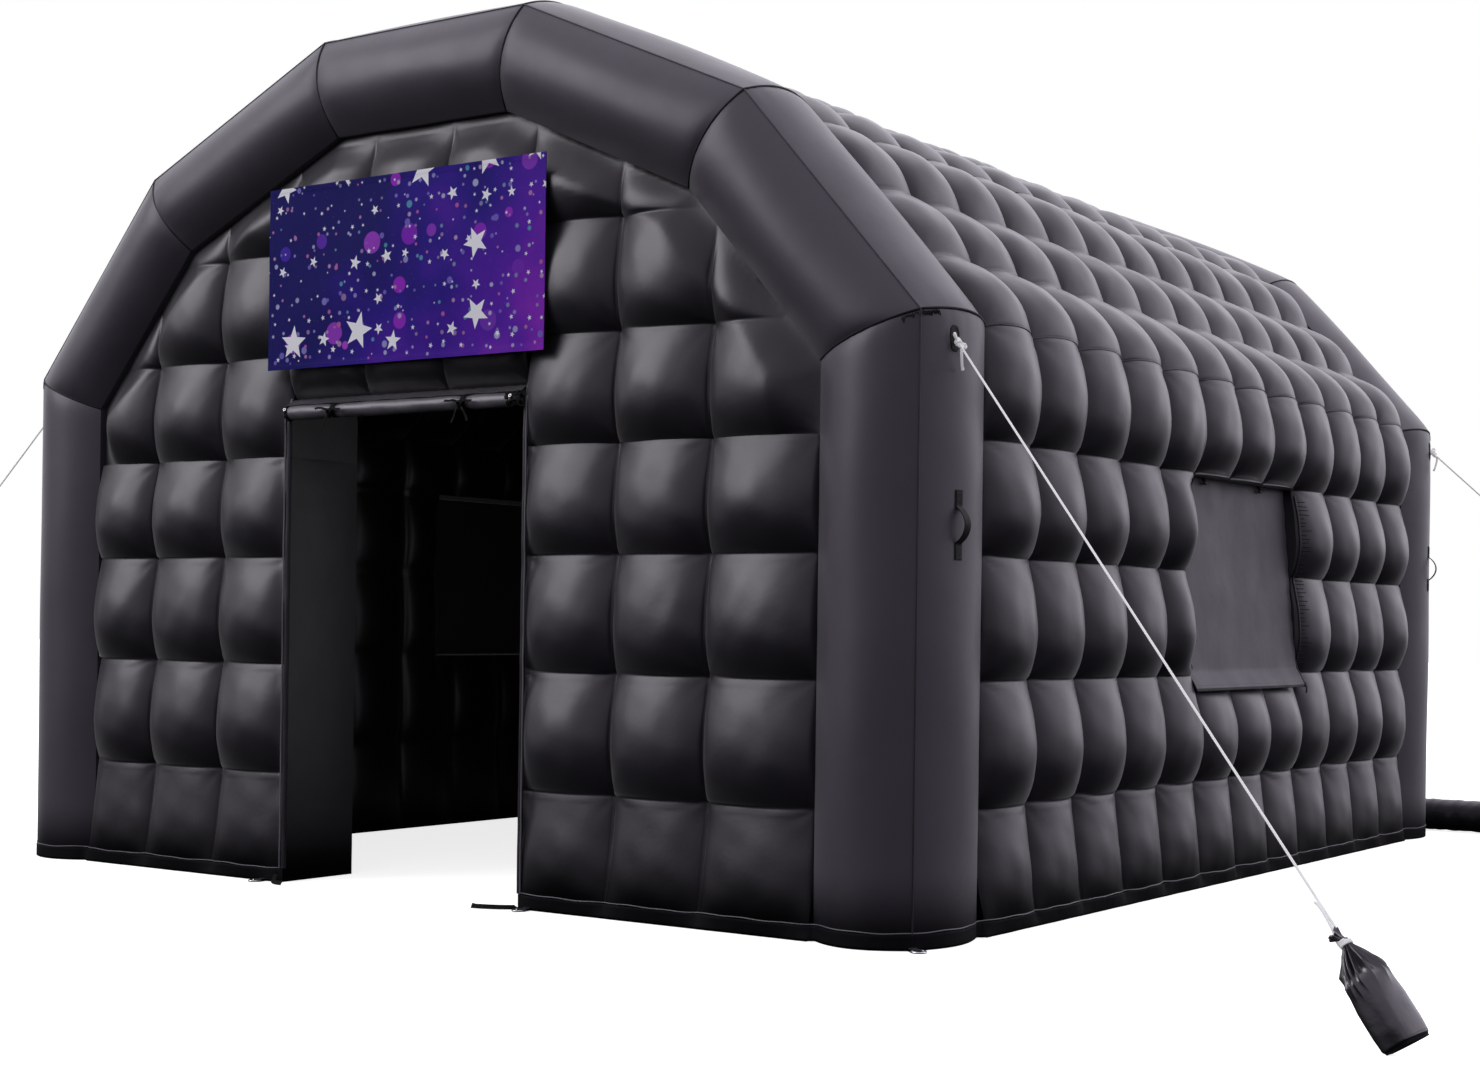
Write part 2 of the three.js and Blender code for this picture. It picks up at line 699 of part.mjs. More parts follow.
function circlePoints(x, radius, sides, y, z) {
  return Array.from({ length: sides }, (_, k) => {
    const turn = (2 * Math.PI * k) / sides;
    return new THREE.Vector3(x, y + radius * Math.cos(turn), z + radius * Math.sin(turn));
  });
}

function doorRoll() {
  const from = DOOR_LEFT + ROLL.inset;
  const to = DOOR_RIGHT - ROLL.inset;
  const byTie = TIE_X.flatMap((x) => [-60, -TIE_WIDE, TIE_WIDE, 60].map((offset) => x + offset));
  const stops = [from, from + 40, ...byTie, to - 40, to];
  const rings = stops.map((x, k) => {
    const size = rollSize(x) * (k === 0 || k === stops.length - 1 ? ROLL_END : 1);
    return circlePoints(x, size, ROLL.sides, ROLL.y, ROLL.z);
  });
  return loft(rings);
}

function rollTie(x) {
  const inner = ROLL.radius * ROLL_PINCH + GAP;
  const edges = [
    [x - TIE_WIDE / 2, inner],
    [x + TIE_WIDE / 2, inner],
    [x + TIE_WIDE / 2, inner + TIE_THICK],
    [x - TIE_WIDE / 2, inner + TIE_THICK],
  ].map(([across, radius]) => circlePoints(across, radius, ROLL.sides, ROLL.y, ROLL.z));
  return loopLoft(edges[0].map((_, k) => edges.map((edge) => edge[k])));
}

// The strip lies under the lintel and slopes forward over the roll: [outward, up] points.
const STRIP_THICK = 3;
const STRIP_LINE = [
  [-60, DOOR_TOP - GAP],
  [6, DOOR_TOP - GAP],
  [46, ROLL.z + ROLL.radius + GAP + STRIP_THICK],
];

function doorStrip() {
  const at = (x) => {
    const upper = STRIP_LINE.map(([out, z]) => new THREE.Vector3(x, FRONT_Y - out, z));
    const lower = upper.map((point) => point.clone().setZ(point.z - STRIP_THICK)).reverse();
    return [...upper, ...lower];
  };
  return stripLoft([at(DOOR_LEFT + ROLL.inset), at(DOOR_RIGHT - ROLL.inset)], STRIP_LINE.length);
}

// A window cover hangs in the opening, tucked in at its top and lapped over the sill.

const COVER_THICK = 3;
const COVER_LINE = [
  [HALF_WIDTH - 70, WINDOW_HIGH - GAP],
  [HALF_WIDTH + 14, WINDOW_LOW + 8],
  [HALF_WIDTH + 62, WINDOW_LOW - 66],
];

function windowCover(side) {
  const rings = [WINDOW.u0 + GAP, WINDOW.u1 - GAP].map((y) => {
    const face = COVER_LINE.map(([x, z]) => new THREE.Vector3(side * (x + COVER_THICK), y, z));
    const rear = COVER_LINE.map(([x, z]) => new THREE.Vector3(side * x, y, z)).reverse();
    return [...face, ...rear];
  });
  return stripLoft(rings, COVER_LINE.length);
}

// Fittings on the legs lie on the flat strip of the outer panel next to its middle.

const LEG_STRIP = {
  y0: TUBE_DEEP / ARC_STEPS,
  y1: (2 * TUBE_DEEP) / ARC_STEPS,
};

// The strip's surface at a height.
function legSurface(depth, z) {
  const at = (y) => SIDE_BULGE * bulge(y / TUBE_DEEP) * legSwell(z);
  const t = (depth - LEG_STRIP.y0) / (LEG_STRIP.y1 - LEG_STRIP.y0);
  return HALF_WIDTH + at(LEG_STRIP.y0) * (1 - t) + at(LEG_STRIP.y1) * t;
}

// Corner is { side, seamY, inward }: which leg a fitting sits on.
const LEGS = {
  front_right: { side: 1, seamY: FRONT_Y, inward: 1 },
  front_left: { side: -1, seamY: FRONT_Y, inward: 1 },
  back_right: { side: 1, seamY: BACK_Y, inward: -1 },
  back_left: { side: -1, seamY: BACK_Y, inward: -1 },
};

function onLeg(leg, depth, z, proud) {
  const x = legSurface(depth, z) + proud;
  return new THREE.Vector3(leg.side * x, leg.seamY + leg.inward * depth, z);
}

// Trims the back of a fitting to the leg that it is sewn to.
const SUNK = -4; // fittings start this far inside the leg, before they are trimmed

function fitToLeg(geometry, leg) {
  const index = leg.side > 0 ? 0 : SPANS.length - 1;
  const tube = toSolid(tubeSegment(index, leg.seamY, leg.inward)).translate(leg.side * GAP, 0, 0);
  return fromSolid(toSolid(geometry).subtract(tube));
}

const PATCH = { depth: 155, z: 2255, wide: 52, tall: 100, thick: 3 };

// The patch's outline between two distances from the leg's surface.
function patchBlock(leg, low, high) {
  const stations = [-0.5, -0.25, 0.25, 0.5];
  const widths = [0.45, 1, 1, 0.45];
  const rings = stations.map((share, k) => {
    const z = PATCH.z + PATCH.tall * share;
    const half = (PATCH.wide * widths[k]) / 2;
    const corner = (across, proud) => onLeg(leg, PATCH.depth + across, z, proud);
    return [corner(-half, low), corner(half, low), corner(half, high), corner(-half, high)];
  });
  return loft(rings);
}

function ropePatch(leg) {
  return fitToLeg(patchBlock(leg, SUNK, GAP + PATCH.thick), leg);
}

// A webbing hand loop: sewn flat at both ends and bowed out between them.
const HANDLE = { depth: 185, wide: 38, thick: 3.5, low: 1440, high: 1690, sewn: 60, bow: 42, steps: 6 };

function handle(leg) {
  const stops = [{ z: HANDLE.low, bow: 0 }, { z: HANDLE.low + HANDLE.sewn, bow: 0 }];
  const from = HANDLE.low + HANDLE.sewn;
  const span = HANDLE.high - HANDLE.low - 2 * HANDLE.sewn;
  for (let k = 1; k < HANDLE.steps; k += 1) {
    const t = k / HANDLE.steps;
    stops.push({ z: from + span * t, bow: HANDLE.bow * Math.sin(Math.PI * t) ** 0.7 });
  }
  stops.push({ z: HANDLE.high - HANDLE.sewn, bow: 0 }, { z: HANDLE.high, bow: 0 });
  const half = HANDLE.wide / 2;
  const rings = stops.map(({ z, bow }) => {
    const near = bow > 0 ? GAP + bow : SUNK;
    const far = GAP + bow + HANDLE.thick;
    return [
      onLeg(leg, HANDLE.depth - half, z, near),
      onLeg(leg, HANDLE.depth + half, z, near),
      onLeg(leg, HANDLE.depth + half, z, far),
      onLeg(leg, HANDLE.depth - half, z, far),
    ];
  });
  return fitToLeg(loft(rings), leg);
}

// Ground anchors: a webbing tab and a metal D ring, lying at the foot of the front.

const TAB = { wide: 38, long: 34, thick: 3 };
const RING = { wire: 4, wide: 56, deep: 42 };
const ANCHORS = [
  { name: 'left', x: -840, y: FRONT_Y - FOOT_PROUD - SKIRT_OFF - SKIRT_THICK - GAP, turn: 0 },
  { name: 'right', x: 710, y: FRONT_Y - FOOT_PROUD - SKIRT_OFF - SKIRT_THICK - GAP, turn: 0 },
  { name: 'corner', x: HALF_WIDTH + 3.8, y: FRONT_Y - 3.7, turn: 1 },
];

function setAnchor(geometry, anchor) {
  geometry.rotateZ(anchor.turn);
  geometry.translate(anchor.x, anchor.y, 0);
  return geometry;
}

function anchorTab(anchor) {
  const geometry = new THREE.BoxGeometry(TAB.wide, TAB.long, TAB.thick);
  geometry.translate(0, -TAB.long / 2, TAB.thick / 2);
  return setAnchor(geometry, anchor);
}

function anchorRing(anchor) {
  const straight = -TAB.long - GAP - RING.wire;
  const half = RING.wide / 2;
  const path = [new THREE.Vector3(-half, straight, RING.wire), new THREE.Vector3(0, straight, RING.wire)];
  path.push(new THREE.Vector3(half, straight, RING.wire));
  const arcSteps = 6;
  for (let k = 1; k < arcSteps; k += 1) {
    const turn = (Math.PI * k) / arcSteps;
    path.push(new THREE.Vector3(half * Math.cos(turn), straight - RING.deep * Math.sin(turn), RING.wire));
  }
  return setAnchor(wireLoop(path, RING.wire, 6), anchor);
}

// Loose strap ends at the door jambs, lying on the ground: centre line points and half widths.

const STRAP = { half: 11, thick: 2.5 };
const LOOSE_STRAPS = {
  loose_strap_left: [
    [-754, -58.2, 34],
    [-752, -70, 20],
    [-736, -92, 3],
    [-700, -112, 1.5],
    [-656, -118, 1.5],
  ],
  loose_strap_right: [
    [654, -52, 3],
    [650, -64, 1.5],
    [612, -96, 1.5],
    [550, -126, 1.5],
    [486, -142, 1.5],
  ],
};

function looseStrap(points) {
  const line = points.map(([x, y, z]) => new THREE.Vector3(x, FRONT_Y + y, z));
  const rings = line.map((point, k) => {
    const ahead = line[Math.min(k + 1, line.length - 1)];
    const behind = line[Math.max(k - 1, 0)];
    const along = k === 0 ? new THREE.Vector3(0, -1, 0) : ahead.clone().sub(behind).setZ(0).normalize();
    const across = new THREE.Vector3(-along.y, along.x, 0).multiplyScalar(STRAP.half);
    const low = point.clone().setZ(Math.max(point.z - STRAP.thick / 2, 0.2));
    const high = low.clone().setZ(low.z + STRAP.thick);
    return [
      low.clone().sub(across),
      low.clone().add(across),
      high.clone().add(across),
      high.clone().sub(across),
    ];
  });
  return loft(rings);
}

// Guy ropes. Each runs straight from its patch; the front right one ends at the sandbag's neck.

const ROPE_RADIUS = 5;
const ROPE_SIDES = 8;
const BAG_NECK = new THREE.Vector3(4374, FRONT_Y - 771, 304);
const BAG_FOOT = new THREE.Vector3(4568, FRONT_Y - 790, 30);
const LEFT_ROPE_END = new THREE.Vector3(-3023, FRONT_Y + 64, 1758);
const BACK_ROPE_END = new THREE.Vector3(2878, BACK_Y - 11, 1934);

function ropeStart(leg) {
  return onLeg(leg, PATCH.depth, PATCH.z, SUNK);
}

function ropeAim(leg, to) {
  return to.clone().sub(ropeStart(leg)).normalize();
}

// A rope from a leg's patch, trimmed to lie on the patch, ending a gap short of the point.
function guyRope(leg, to, steps) {
  const circle = new THREE.Shape();
  const corners = Array.from({ length: ROPE_SIDES }, (_, k) => (2 * Math.PI * k) / ROPE_SIDES);
  circle.setFromPoints(
    corners.map((a) => new THREE.Vector2(ROPE_RADIUS * Math.cos(a), ROPE_RADIUS * Math.sin(a))),
  );
  const end = to.clone().addScaledVector(ropeAim(leg, to), -GAP);
  const extrudePath = new THREE.LineCurve3(ropeStart(leg), end);
  const tube = new THREE.ExtrudeGeometry(circle, { steps, bevelEnabled: false, extrudePath });
  const under = patchBlock(leg, 8 * SUNK, GAP + PATCH.thick + GAP);
  return fromSolid(toSolid(tube).subtract(toSolid(under)));
}

// The eye at the free end of a guy rope, in line with the rope.
const EYE = { wide: 34, deep: 60 };

function ropeEye(leg, to) {
  const along = ropeAim(leg, to);
  const across = new THREE.Vector3(-along.y, along.x, 0).normalize();
  const steps = 12;
  const path = Array.from({ length: steps }, (_, k) => {
    const turn = (2 * Math.PI * k) / steps;
    const ahead = ROPE_RADIUS + (EYE.deep / 2) * (1 - Math.cos(turn));
    return to
      .clone()
      .addScaledVector(along, ahead)
      .addScaledVector(across, (EYE.wide / 2) * Math.sin(turn));
  });
  return wireLoop(path, ROPE_RADIUS, 8, new THREE.Vector3().crossVectors(along, across));
}

// The sandbag: a filled sack, gathered at its neck and pulled towards the tent by the rope.
// Each row: share of the length from the neck, half width, half thickness.
const BAG_SECTIONS = [
  [0, 15, 13],
  [0.07, 17, 15],
  [0.2, 42, 28],
  [0.38, 72, 44],
  [0.6, 80, 52],
  [0.84, 80, 50],
  [0.96, 76, 38],
  [1, 68, 20],
];
const BAG_SIDES = 12;
const BAG_ACROSS = new THREE.Vector3(0.82, 0.57, 0);

function sandbag() {
  const axis = BAG_FOOT.clone().sub(BAG_NECK);
  const squared = (value) => Math.sign(value) * Math.abs(value) ** 0.8;
  const rings = BAG_SECTIONS.map(([share, wide, thick]) => {
    const along = share === 0 ? ropeAim(LEGS.front_right, BAG_NECK) : axis.clone().normalize();
    const across = BAG_ACROSS.clone().addScaledVector(along, -BAG_ACROSS.dot(along)).normalize();
    const through = new THREE.Vector3().crossVectors(along, across);
    return Array.from({ length: BAG_SIDES }, (_, k) => {
      const turn = (2 * Math.PI * (k + 0.5)) / BAG_SIDES;
      const spot = BAG_NECK.clone().addScaledVector(axis, share);
      spot.addScaledVector(across, wide * squared(Math.cos(turn)));
      spot.addScaledVector(through, thick * squared(Math.sin(turn)));
      return spot.setZ(Math.max(spot.z, 0));
    });
  });
  return loft(rings);
}

// The air duct: a fabric tube from the back wall that turns along the back and leaves to the right.

const DUCT = { radius: 95, startX: 1700, exitZ: 175, runY: BACK_Y + 350, endX: 3080, sides: 12 };
const DUCT_BEND = 190;
const DUCT_MOUTH = 0.3; // the gathered end, as a share of the duct's width

function ductPath() {
  const path = [];
  const startY = BACK_Y - 60;
  const turnY = DUCT.runY - DUCT_BEND;
  path.push({ x: DUCT.startX, y: startY, z: DUCT.exitZ, aim: 0 });
  path.push({ x: DUCT.startX, y: BACK_Y + CREST, z: DUCT.exitZ, aim: 0 });
  path.push({ x: DUCT.startX, y: turnY, z: DUCT.radius + 40, aim: 0 });
  const bendSteps = 5;
  for (let k = 1; k <= bendSteps; k += 1) {
    const turn = (Math.PI / 2) * (k / bendSteps);
    path.push({
      x: DUCT.startX + DUCT_BEND * (1 - Math.cos(turn)),
      y: turnY + DUCT_BEND * Math.sin(turn),
      z: DUCT.radius + 40 * (1 - k / bendSteps) ** 2,
      aim: turn,
    });
  }
  path.push({ x: DUCT.endX - 120, y: DUCT.runY, z: DUCT.radius, aim: Math.PI / 2 });
  return path.map((station) => ({ ...station, size: 1 }));
}

function airDuct(wall) {
  const path = ductPath();
  const quarter = Math.PI / 2;
  path.push({ x: DUCT.endX - 40, y: DUCT.runY, z: DUCT.radius * 0.75, aim: quarter, size: 0.62 });
  path.push({ x: DUCT.endX, y: DUCT.runY, z: DUCT.radius * 0.6, aim: quarter, size: DUCT_MOUTH });
  const rings = path.map(({ x, y, z, aim, size }) =>
    Array.from({ length: DUCT.sides }, (_, k) => {
      const turn = (2 * Math.PI * k) / DUCT.sides;
      const across = DUCT.radius * size * Math.cos(turn);
      const up = DUCT.radius * size * Math.sin(turn);
      return new THREE.Vector3(x + across * Math.cos(aim), y - across * Math.sin(aim), Math.max(z + up, 0));
    }),
  );
  const wallCopy = toSolid(wall).translate(0, GAP, 0);
  return fromSolid(toSolid(loft(rings)).subtract(wallCopy));
}

// Assembly.

const cloth = material('cloth', 0.42);
const webbing = material('webbing', 0.7);
const metal = material('metal', 0.25, 1);
const rope = material('rope', 0.7);

SPANS.forEach((span, index) => {
  add(`front_arch_${span}`, tubeSegment(index, FRONT_Y, 1), cloth);
  add(`back_arch_${span}`, tubeSegment(index, BACK_Y, -1), cloth);
});
add('side_wall_right', sideWall(1), cloth);
add('side_wall_left', sideWall(-1), cloth);
SPANS.slice(1, -1).forEach((span, index) => add(`roof_${span}`, roofPanel(index + 1), cloth));
add('front_wall_left', doorSidePanel(-LEG_INSIDE, DOOR_LEFT), cloth);
add('front_wall_right', doorSidePanel(DOOR_RIGHT, LEG_INSIDE), cloth);
add('front_gable', frontGable(), cloth);
const backWallGeometry = backWall();
add('back_wall', backWallGeometry, cloth);
add('ground_skirt', groundSkirt(), material('webbing', 0.6));

add('banner', banner(), material('banner', 0.4));
add('door_flap_roll', doorRoll(), material('webbing', 0.25));
add('door_flap_strip', doorStrip(), material('webbing', 0.35));
TIE_X.forEach((x, k) => add(`door_flap_tie_${k + 1}`, rollTie(x), webbing));
add('window_cover_right', windowCover(1), material('cover', 0.6));
add('window_cover_left', windowCover(-1), material('cover', 0.6));

for (const [name, leg] of Object.entries(LEGS)) {
  add(`rope_patch_${name}`, ropePatch(leg), webbing);
  add(`handle_${name}`, handle(leg), webbing);
}
for (const anchor of ANCHORS) {
  add(`anchor_tab_${anchor.name}`, anchorTab(anchor), webbing);
  add(`anchor_ring_${anchor.name}`, anchorRing(anchor), metal);
}
for (const [name, points] of Object.entries(LOOSE_STRAPS)) add(name, looseStrap(points), webbing);

add('guy_rope_front_right', guyRope(LEGS.front_right, BAG_NECK, 8), rope);
add('guy_rope_front_left', guyRope(LEGS.front_left, LEFT_ROPE_END, 2), rope);
add('guy_rope_back_right', guyRope(LEGS.back_right, BACK_ROPE_END, 2), rope);
add('rope_eye_front_left', ropeEye(LEGS.front_left, LEFT_ROPE_END), rope);
add('rope_eye_back_right', ropeEye(LEGS.back_right, BACK_ROPE_END), rope);
add('sandbag', sandbag(), material('sack', 0.5));
add('air_duct', airDuct(backWallGeometry), cloth);

export default group;
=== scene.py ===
# The looks of the inflatable party tent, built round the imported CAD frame. Metres, Z up.
import math

import bmesh
import bpy
import numpy as np
from mathutils import Matrix, Vector


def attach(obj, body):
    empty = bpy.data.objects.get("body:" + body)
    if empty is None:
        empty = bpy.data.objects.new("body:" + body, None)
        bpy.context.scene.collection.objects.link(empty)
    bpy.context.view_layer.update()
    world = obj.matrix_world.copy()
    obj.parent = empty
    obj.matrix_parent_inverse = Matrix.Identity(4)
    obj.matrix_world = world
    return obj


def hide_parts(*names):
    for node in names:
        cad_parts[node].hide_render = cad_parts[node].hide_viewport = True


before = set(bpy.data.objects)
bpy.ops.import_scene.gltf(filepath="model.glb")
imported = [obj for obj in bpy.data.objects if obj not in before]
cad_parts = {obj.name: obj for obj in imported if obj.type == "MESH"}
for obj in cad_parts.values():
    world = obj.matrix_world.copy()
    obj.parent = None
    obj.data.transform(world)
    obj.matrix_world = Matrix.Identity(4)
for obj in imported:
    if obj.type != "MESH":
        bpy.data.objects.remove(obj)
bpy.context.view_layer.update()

# Sizes that the CAD source drives, in metres.
HALF_WIDTH, EAVE_Z, LENGTH = 2.5, 2.35, 6.0
FRONT_Y = -2.974
BACK_Y = FRONT_Y + LENGTH
GAP = 0.0003
OUTLINE = np.array([
    (2.5, 0), (2.5, 2.35), (1.7, 3.255), (0.58, 3.75), (-0.58, 3.75), (-1.7, 3.255), (-2.5, 2.35), (-2.5, 0),
])
SPANS = [
    "right_leg", "right_lower_slope", "right_upper_slope", "crown",
    "left_upper_slope", "left_lower_slope", "left_leg",
]
TUBE_WIDE, TUBE_DEEP, FACE_BULGE, SIDE_BULGE = 0.43, 0.49, 0.1, 0.065
PANEL_THICK, ROOF_SINK = 0.4, 0.04
TUFT, CREST, INNER_TUFT, INNER_CREST = -0.03, 0.1, -0.03, 0.04
CREASE, SADDLE, CLOSED_EDGE, BASE_LEVEL = 0.25, 0.5, 0.15, 0.6
EAVE_SADDLE = 0.52
FRONT_COLUMNS = np.array([-2.07, -1.66, -1.2, -0.74, -0.28, 0.18, 0.64, 1.1, 1.56, 2.07])
DOOR_LEFT, DOOR_RIGHT, DOOR_TOP = -0.74, 0.64, 2.17
WALL_ROWS = np.array([0, 0.49, 0.98, 1.46, 1.91, EAVE_Z])
PANEL_TOP = 1.91
GABLE_ROWS = np.array([1.91, 2.36, 2.82, 3.28, 3.74])
SIDE_START, SIDE_END = FRONT_Y + TUBE_DEEP + GAP, BACK_Y - TUBE_DEEP - GAP
SIDE_COLUMNS = np.linspace(SIDE_START, SIDE_END, 13)
WINDOW_U0 = SIDE_COLUMNS[4] + (SIDE_COLUMNS[5] - SIDE_COLUMNS[4]) * 2 / 3
WINDOW_U1, WINDOW_V0, WINDOW_V1 = SIDE_COLUMNS[8], 0.98, 1.91

# The camera, fitted to the photograph. PHOTO_WIDTH, both rows and FOCAL_PIXELS are in its pixels.

SENSOR_WIDTH = 36.0
PHOTO_WIDTH, MIDDLE_ROW, HORIZON_ROW, FOCAL_PIXELS = 1480.0, 533.0, 624.0, 2178.44
CAMERA_PLACE = (6.5009, -6.9128 + FRONT_Y, 1.1873)
CAMERA_TURN, CAMERA_ROLL = math.radians(34.69), math.radians(0.8027)

camera_data = bpy.data.cameras.new("camera")
camera_data.sensor_width = SENSOR_WIDTH
camera_data.lens = FOCAL_PIXELS / PHOTO_WIDTH * SENSOR_WIDTH
camera_data.shift_y = (HORIZON_ROW - MIDDLE_ROW) / PHOTO_WIDTH
camera_data.clip_end = 400
camera = bpy.data.objects.new("camera", camera_data)
camera.matrix_world = (
    Matrix.Translation(CAMERA_PLACE)
    @ Matrix.Rotation(CAMERA_TURN, 4, "Z")
    @ Matrix.Rotation(math.pi / 2, 4, "X")
    @ Matrix.Rotation(CAMERA_ROLL, 4, "Z")
)
bpy.context.collection.objects.link(camera)
bpy.context.scene.camera = camera


# Materials.

def new_tree(name):
    material = bpy.data.materials.new(name)
    material.use_nodes = True
    tree = material.node_tree
    tree.nodes.clear()
    out = tree.nodes.new("ShaderNodeOutputMaterial")
    shader = tree.nodes.new("ShaderNodeBsdfPrincipled")
    tree.links.new(shader.outputs[0], out.inputs["Surface"])
    return material, tree, shader


def feed(tree, node, inputs):
    """Links each input of a node to the socket given for it, or sets it to the value given."""
    for key, value in inputs.items():
        if isinstance(value, bpy.types.NodeSocket):
            tree.links.new(value, node.inputs[key])
        else:
            node.inputs[key].default_value = value


def add_node(tree, kind, inputs=None, **settings):
    made = tree.nodes.new(kind)
    for key, value in settings.items():
        setattr(made, key, value)
    feed(tree, made, inputs or {})
    return made


def wired(tree, operation, *values):
    """A Math node's output. values are sockets or numbers."""
    return add_node(tree, "ShaderNodeMath", dict(enumerate(values)), operation=operation).outputs[0]


def mapped(tree, value, start, end, low, high, kind="LINEAR"):
    """A value that runs from start to end, turned into one that runs from low to high."""
    inputs = {"Value": value, "From Min": start, "From Max": end, "To Min": low, "To Max": high}
    return add_node(tree, "ShaderNodeMapRange", inputs, interpolation_type=kind).outputs[0]


def ramp(tree, factor, stops):
    made = add_node(tree, "ShaderNodeValToRGB", {0: factor})
    elements = made.color_ramp.elements
    while len(elements) < len(stops):
        elements.new(0.5)
    for element, (place, colour) in zip(elements, stops):
        element.position = place
        element.color = (*colour, 1)
    return made.outputs[0]


def noise(tree, coords, scale, detail=3.0, rough=0.55):
    inputs = {"Vector": coords, "Scale": scale, "Detail": detail, "Roughness": rough}
    return add_node(tree, "ShaderNodeTexNoise", inputs).outputs["Fac"]


def waves(tree, coords, way, scale, distortion=0.0):
    inputs = {"Vector": coords, "Scale": scale, "Distortion": distortion}
    return add_node(tree, "ShaderNodeTexWave", inputs, bands_direction=way).outputs["Fac"]


def bump(tree, height, strength, distance, normal=None):
    inputs = {"Height": height, "Strength": strength, "Distance": distance}
    if normal is not None:
        inputs["Normal"] = normal
    return add_node(tree, "ShaderNodeBump", inputs).outputs[0]


def places(tree):
    """The place on a piece in its own metres, and the place on its cloth in metres."""
    coords = add_node(tree, "ShaderNodeTexCoord")
    return coords.outputs["Object"], coords.outputs["UV"]


def cloth(name, dark, light, rough, weave=45.0, crumple=0.2, coat=0.0, sheen=0.06, gloss=0.72, painted_shade_height=0.0):
    """A coated cloth: its colour and its shine drift a little, and weave and soft creases stand in the bump.

    Near the ground, up to the given height, the cloth is painted darker and loses its shine: painted shade at
    the foot.
    """
    material, tree, shader = new_tree(name)
    place, uv = places(tree)
    colour = ramp(tree, noise(tree, place, 2.3, 4.0), [(0.3, dark), (0.72, light)])
    woven = wired(tree, "MULTIPLY", waves(tree, uv, "X", weave, 0.2), waves(tree, uv, "Y", weave, 0.2))
    soft = bump(tree, noise(tree, place, 9.0, 4.0, 0.6), crumple, 0.012)
    fine = bump(tree, noise(tree, place, 55.0, 3.0, 0.6), crumple * 0.5, 0.0015, soft)
    gleam = {"Specular IOR Level": gloss, "Coat Weight": coat, "Sheen Weight": sheen}
    if painted_shade_height:
        above = add_node(tree, "ShaderNodeSeparateXYZ", {"Vector": place}).outputs["Z"]
        for socket, value in gleam.items():
            gleam[socket] = mapped(tree, above, 0.02, painted_shade_height, 0.08 * value, value, "SMOOTHSTEP")
        # depth is painted shade: it darkens the colour towards the ground.
        depth = mapped(tree, above, 0.05, painted_shade_height, 0.1, 1.0, "SMOOTHSTEP")
        inputs = {0: colour, "Scale": depth}
        colour = add_node(tree, "ShaderNodeVectorMath", inputs, operation="SCALE").outputs[0]
    feed(tree, shader, {
        "Base Color": colour,
        "Roughness": mapped(tree, noise(tree, place, 5.5, 3.0), 0.3, 0.7, rough - 0.04, rough + 0.05),
        "Normal": bump(tree, woven, 0.12, 0.0003, fine),
        "Specular Tint": (0.93, 0.875, 1.0, 1), "Coat Roughness": 0.36, "Sheen Roughness": 0.35, **gleam,
    })
    return material


def webbing_material(name, dark, light, gloss=0.35):
    """Woven webbing: ribs across it and threads along it, in a colour that drifts a little."""
    material, tree, shader = new_tree(name)
    place, uv = places(tree)
    drift = noise(tree, place, 38.0, 4.0)
    woven = wired(tree, "MULTIPLY", waves(tree, uv, "X", 95.0, 0.4), waves(tree, uv, "Y", 150.0, 0.3))
    feed(tree, shader, {
        "Base Color": ramp(tree, wired(tree, "MULTIPLY", woven, drift), [(0.05, dark), (0.6, light)]),
        "Roughness": mapped(tree, drift, 0.0, 1.0, 0.5, 0.72), "Normal": bump(tree, woven, 0.6, 0.0007),
        "Specular IOR Level": gloss, "Sheen Weight": 0.03, "Sheen Roughness": 0.5,
    })
    return material


def fibre_material(name, dark, light):
    """A laid rope's bleached yarns: slanted fibres, darker in the hollows. A faint painted glow makes it look
    whiter.
    """
    material, tree, shader = new_tree(name)
    place, uv = places(tree)
    yarns = waves(tree, uv, "DIAGONAL", 240.0, 1.2)
    drift = noise(tree, place, 60.0, 4.0)
    feed(tree, shader, {
        "Base Color": ramp(tree, wired(tree, "MULTIPLY", yarns, drift), [(0.0, dark), (0.45, light)]),
        "Roughness": mapped(tree, drift, 0.0, 1.0, 0.6, 0.85), "Normal": bump(tree, yarns, 0.5, 0.0006),
        "Sheen Weight": 0.5, "Sheen Roughness": 0.6,
        # Painted light: a faint glow that makes the rope look whiter.
        "Emission Color": (0.97, 0.96, 1.0, 1), "Emission Strength": 0.22,
    })
    return material


def grained_material(name, dark, light, drift_scale, drift_detail, rough, grain, grain_bump, metallic=0.0):
    """A plain material: its colour drifts, and a fine grain stands in its bump.

    rough is one value or the two that it drifts between. grain is the grain's scale along each axis.
    """
    material, tree, shader = new_tree(name)
    place, _ = places(tree)
    drift = noise(tree, place, drift_scale, drift_detail)
    stretched = add_node(tree, "ShaderNodeMapping", {"Vector": place, "Scale": grain}).outputs[0]
    feed(tree, shader, {
        "Base Color": ramp(tree, drift, [(0.3, dark), (0.7, light)]),
        "Roughness": mapped(tree, drift, 0.0, 1.0, *rough) if isinstance(rough, tuple) else rough,
        "Normal": bump(tree, noise(tree, stretched, 1.0, 2.0), *grain_bump),
        "Metallic": metallic,
    })
    return material


def thread_material(name, dark, light):
    return grained_material(name, dark, light, drift_scale=300.0, drift_detail=2.0, rough=0.6,
                            grain=(1600.0, 1600.0, 1600.0), grain_bump=(0.4, 0.0003))


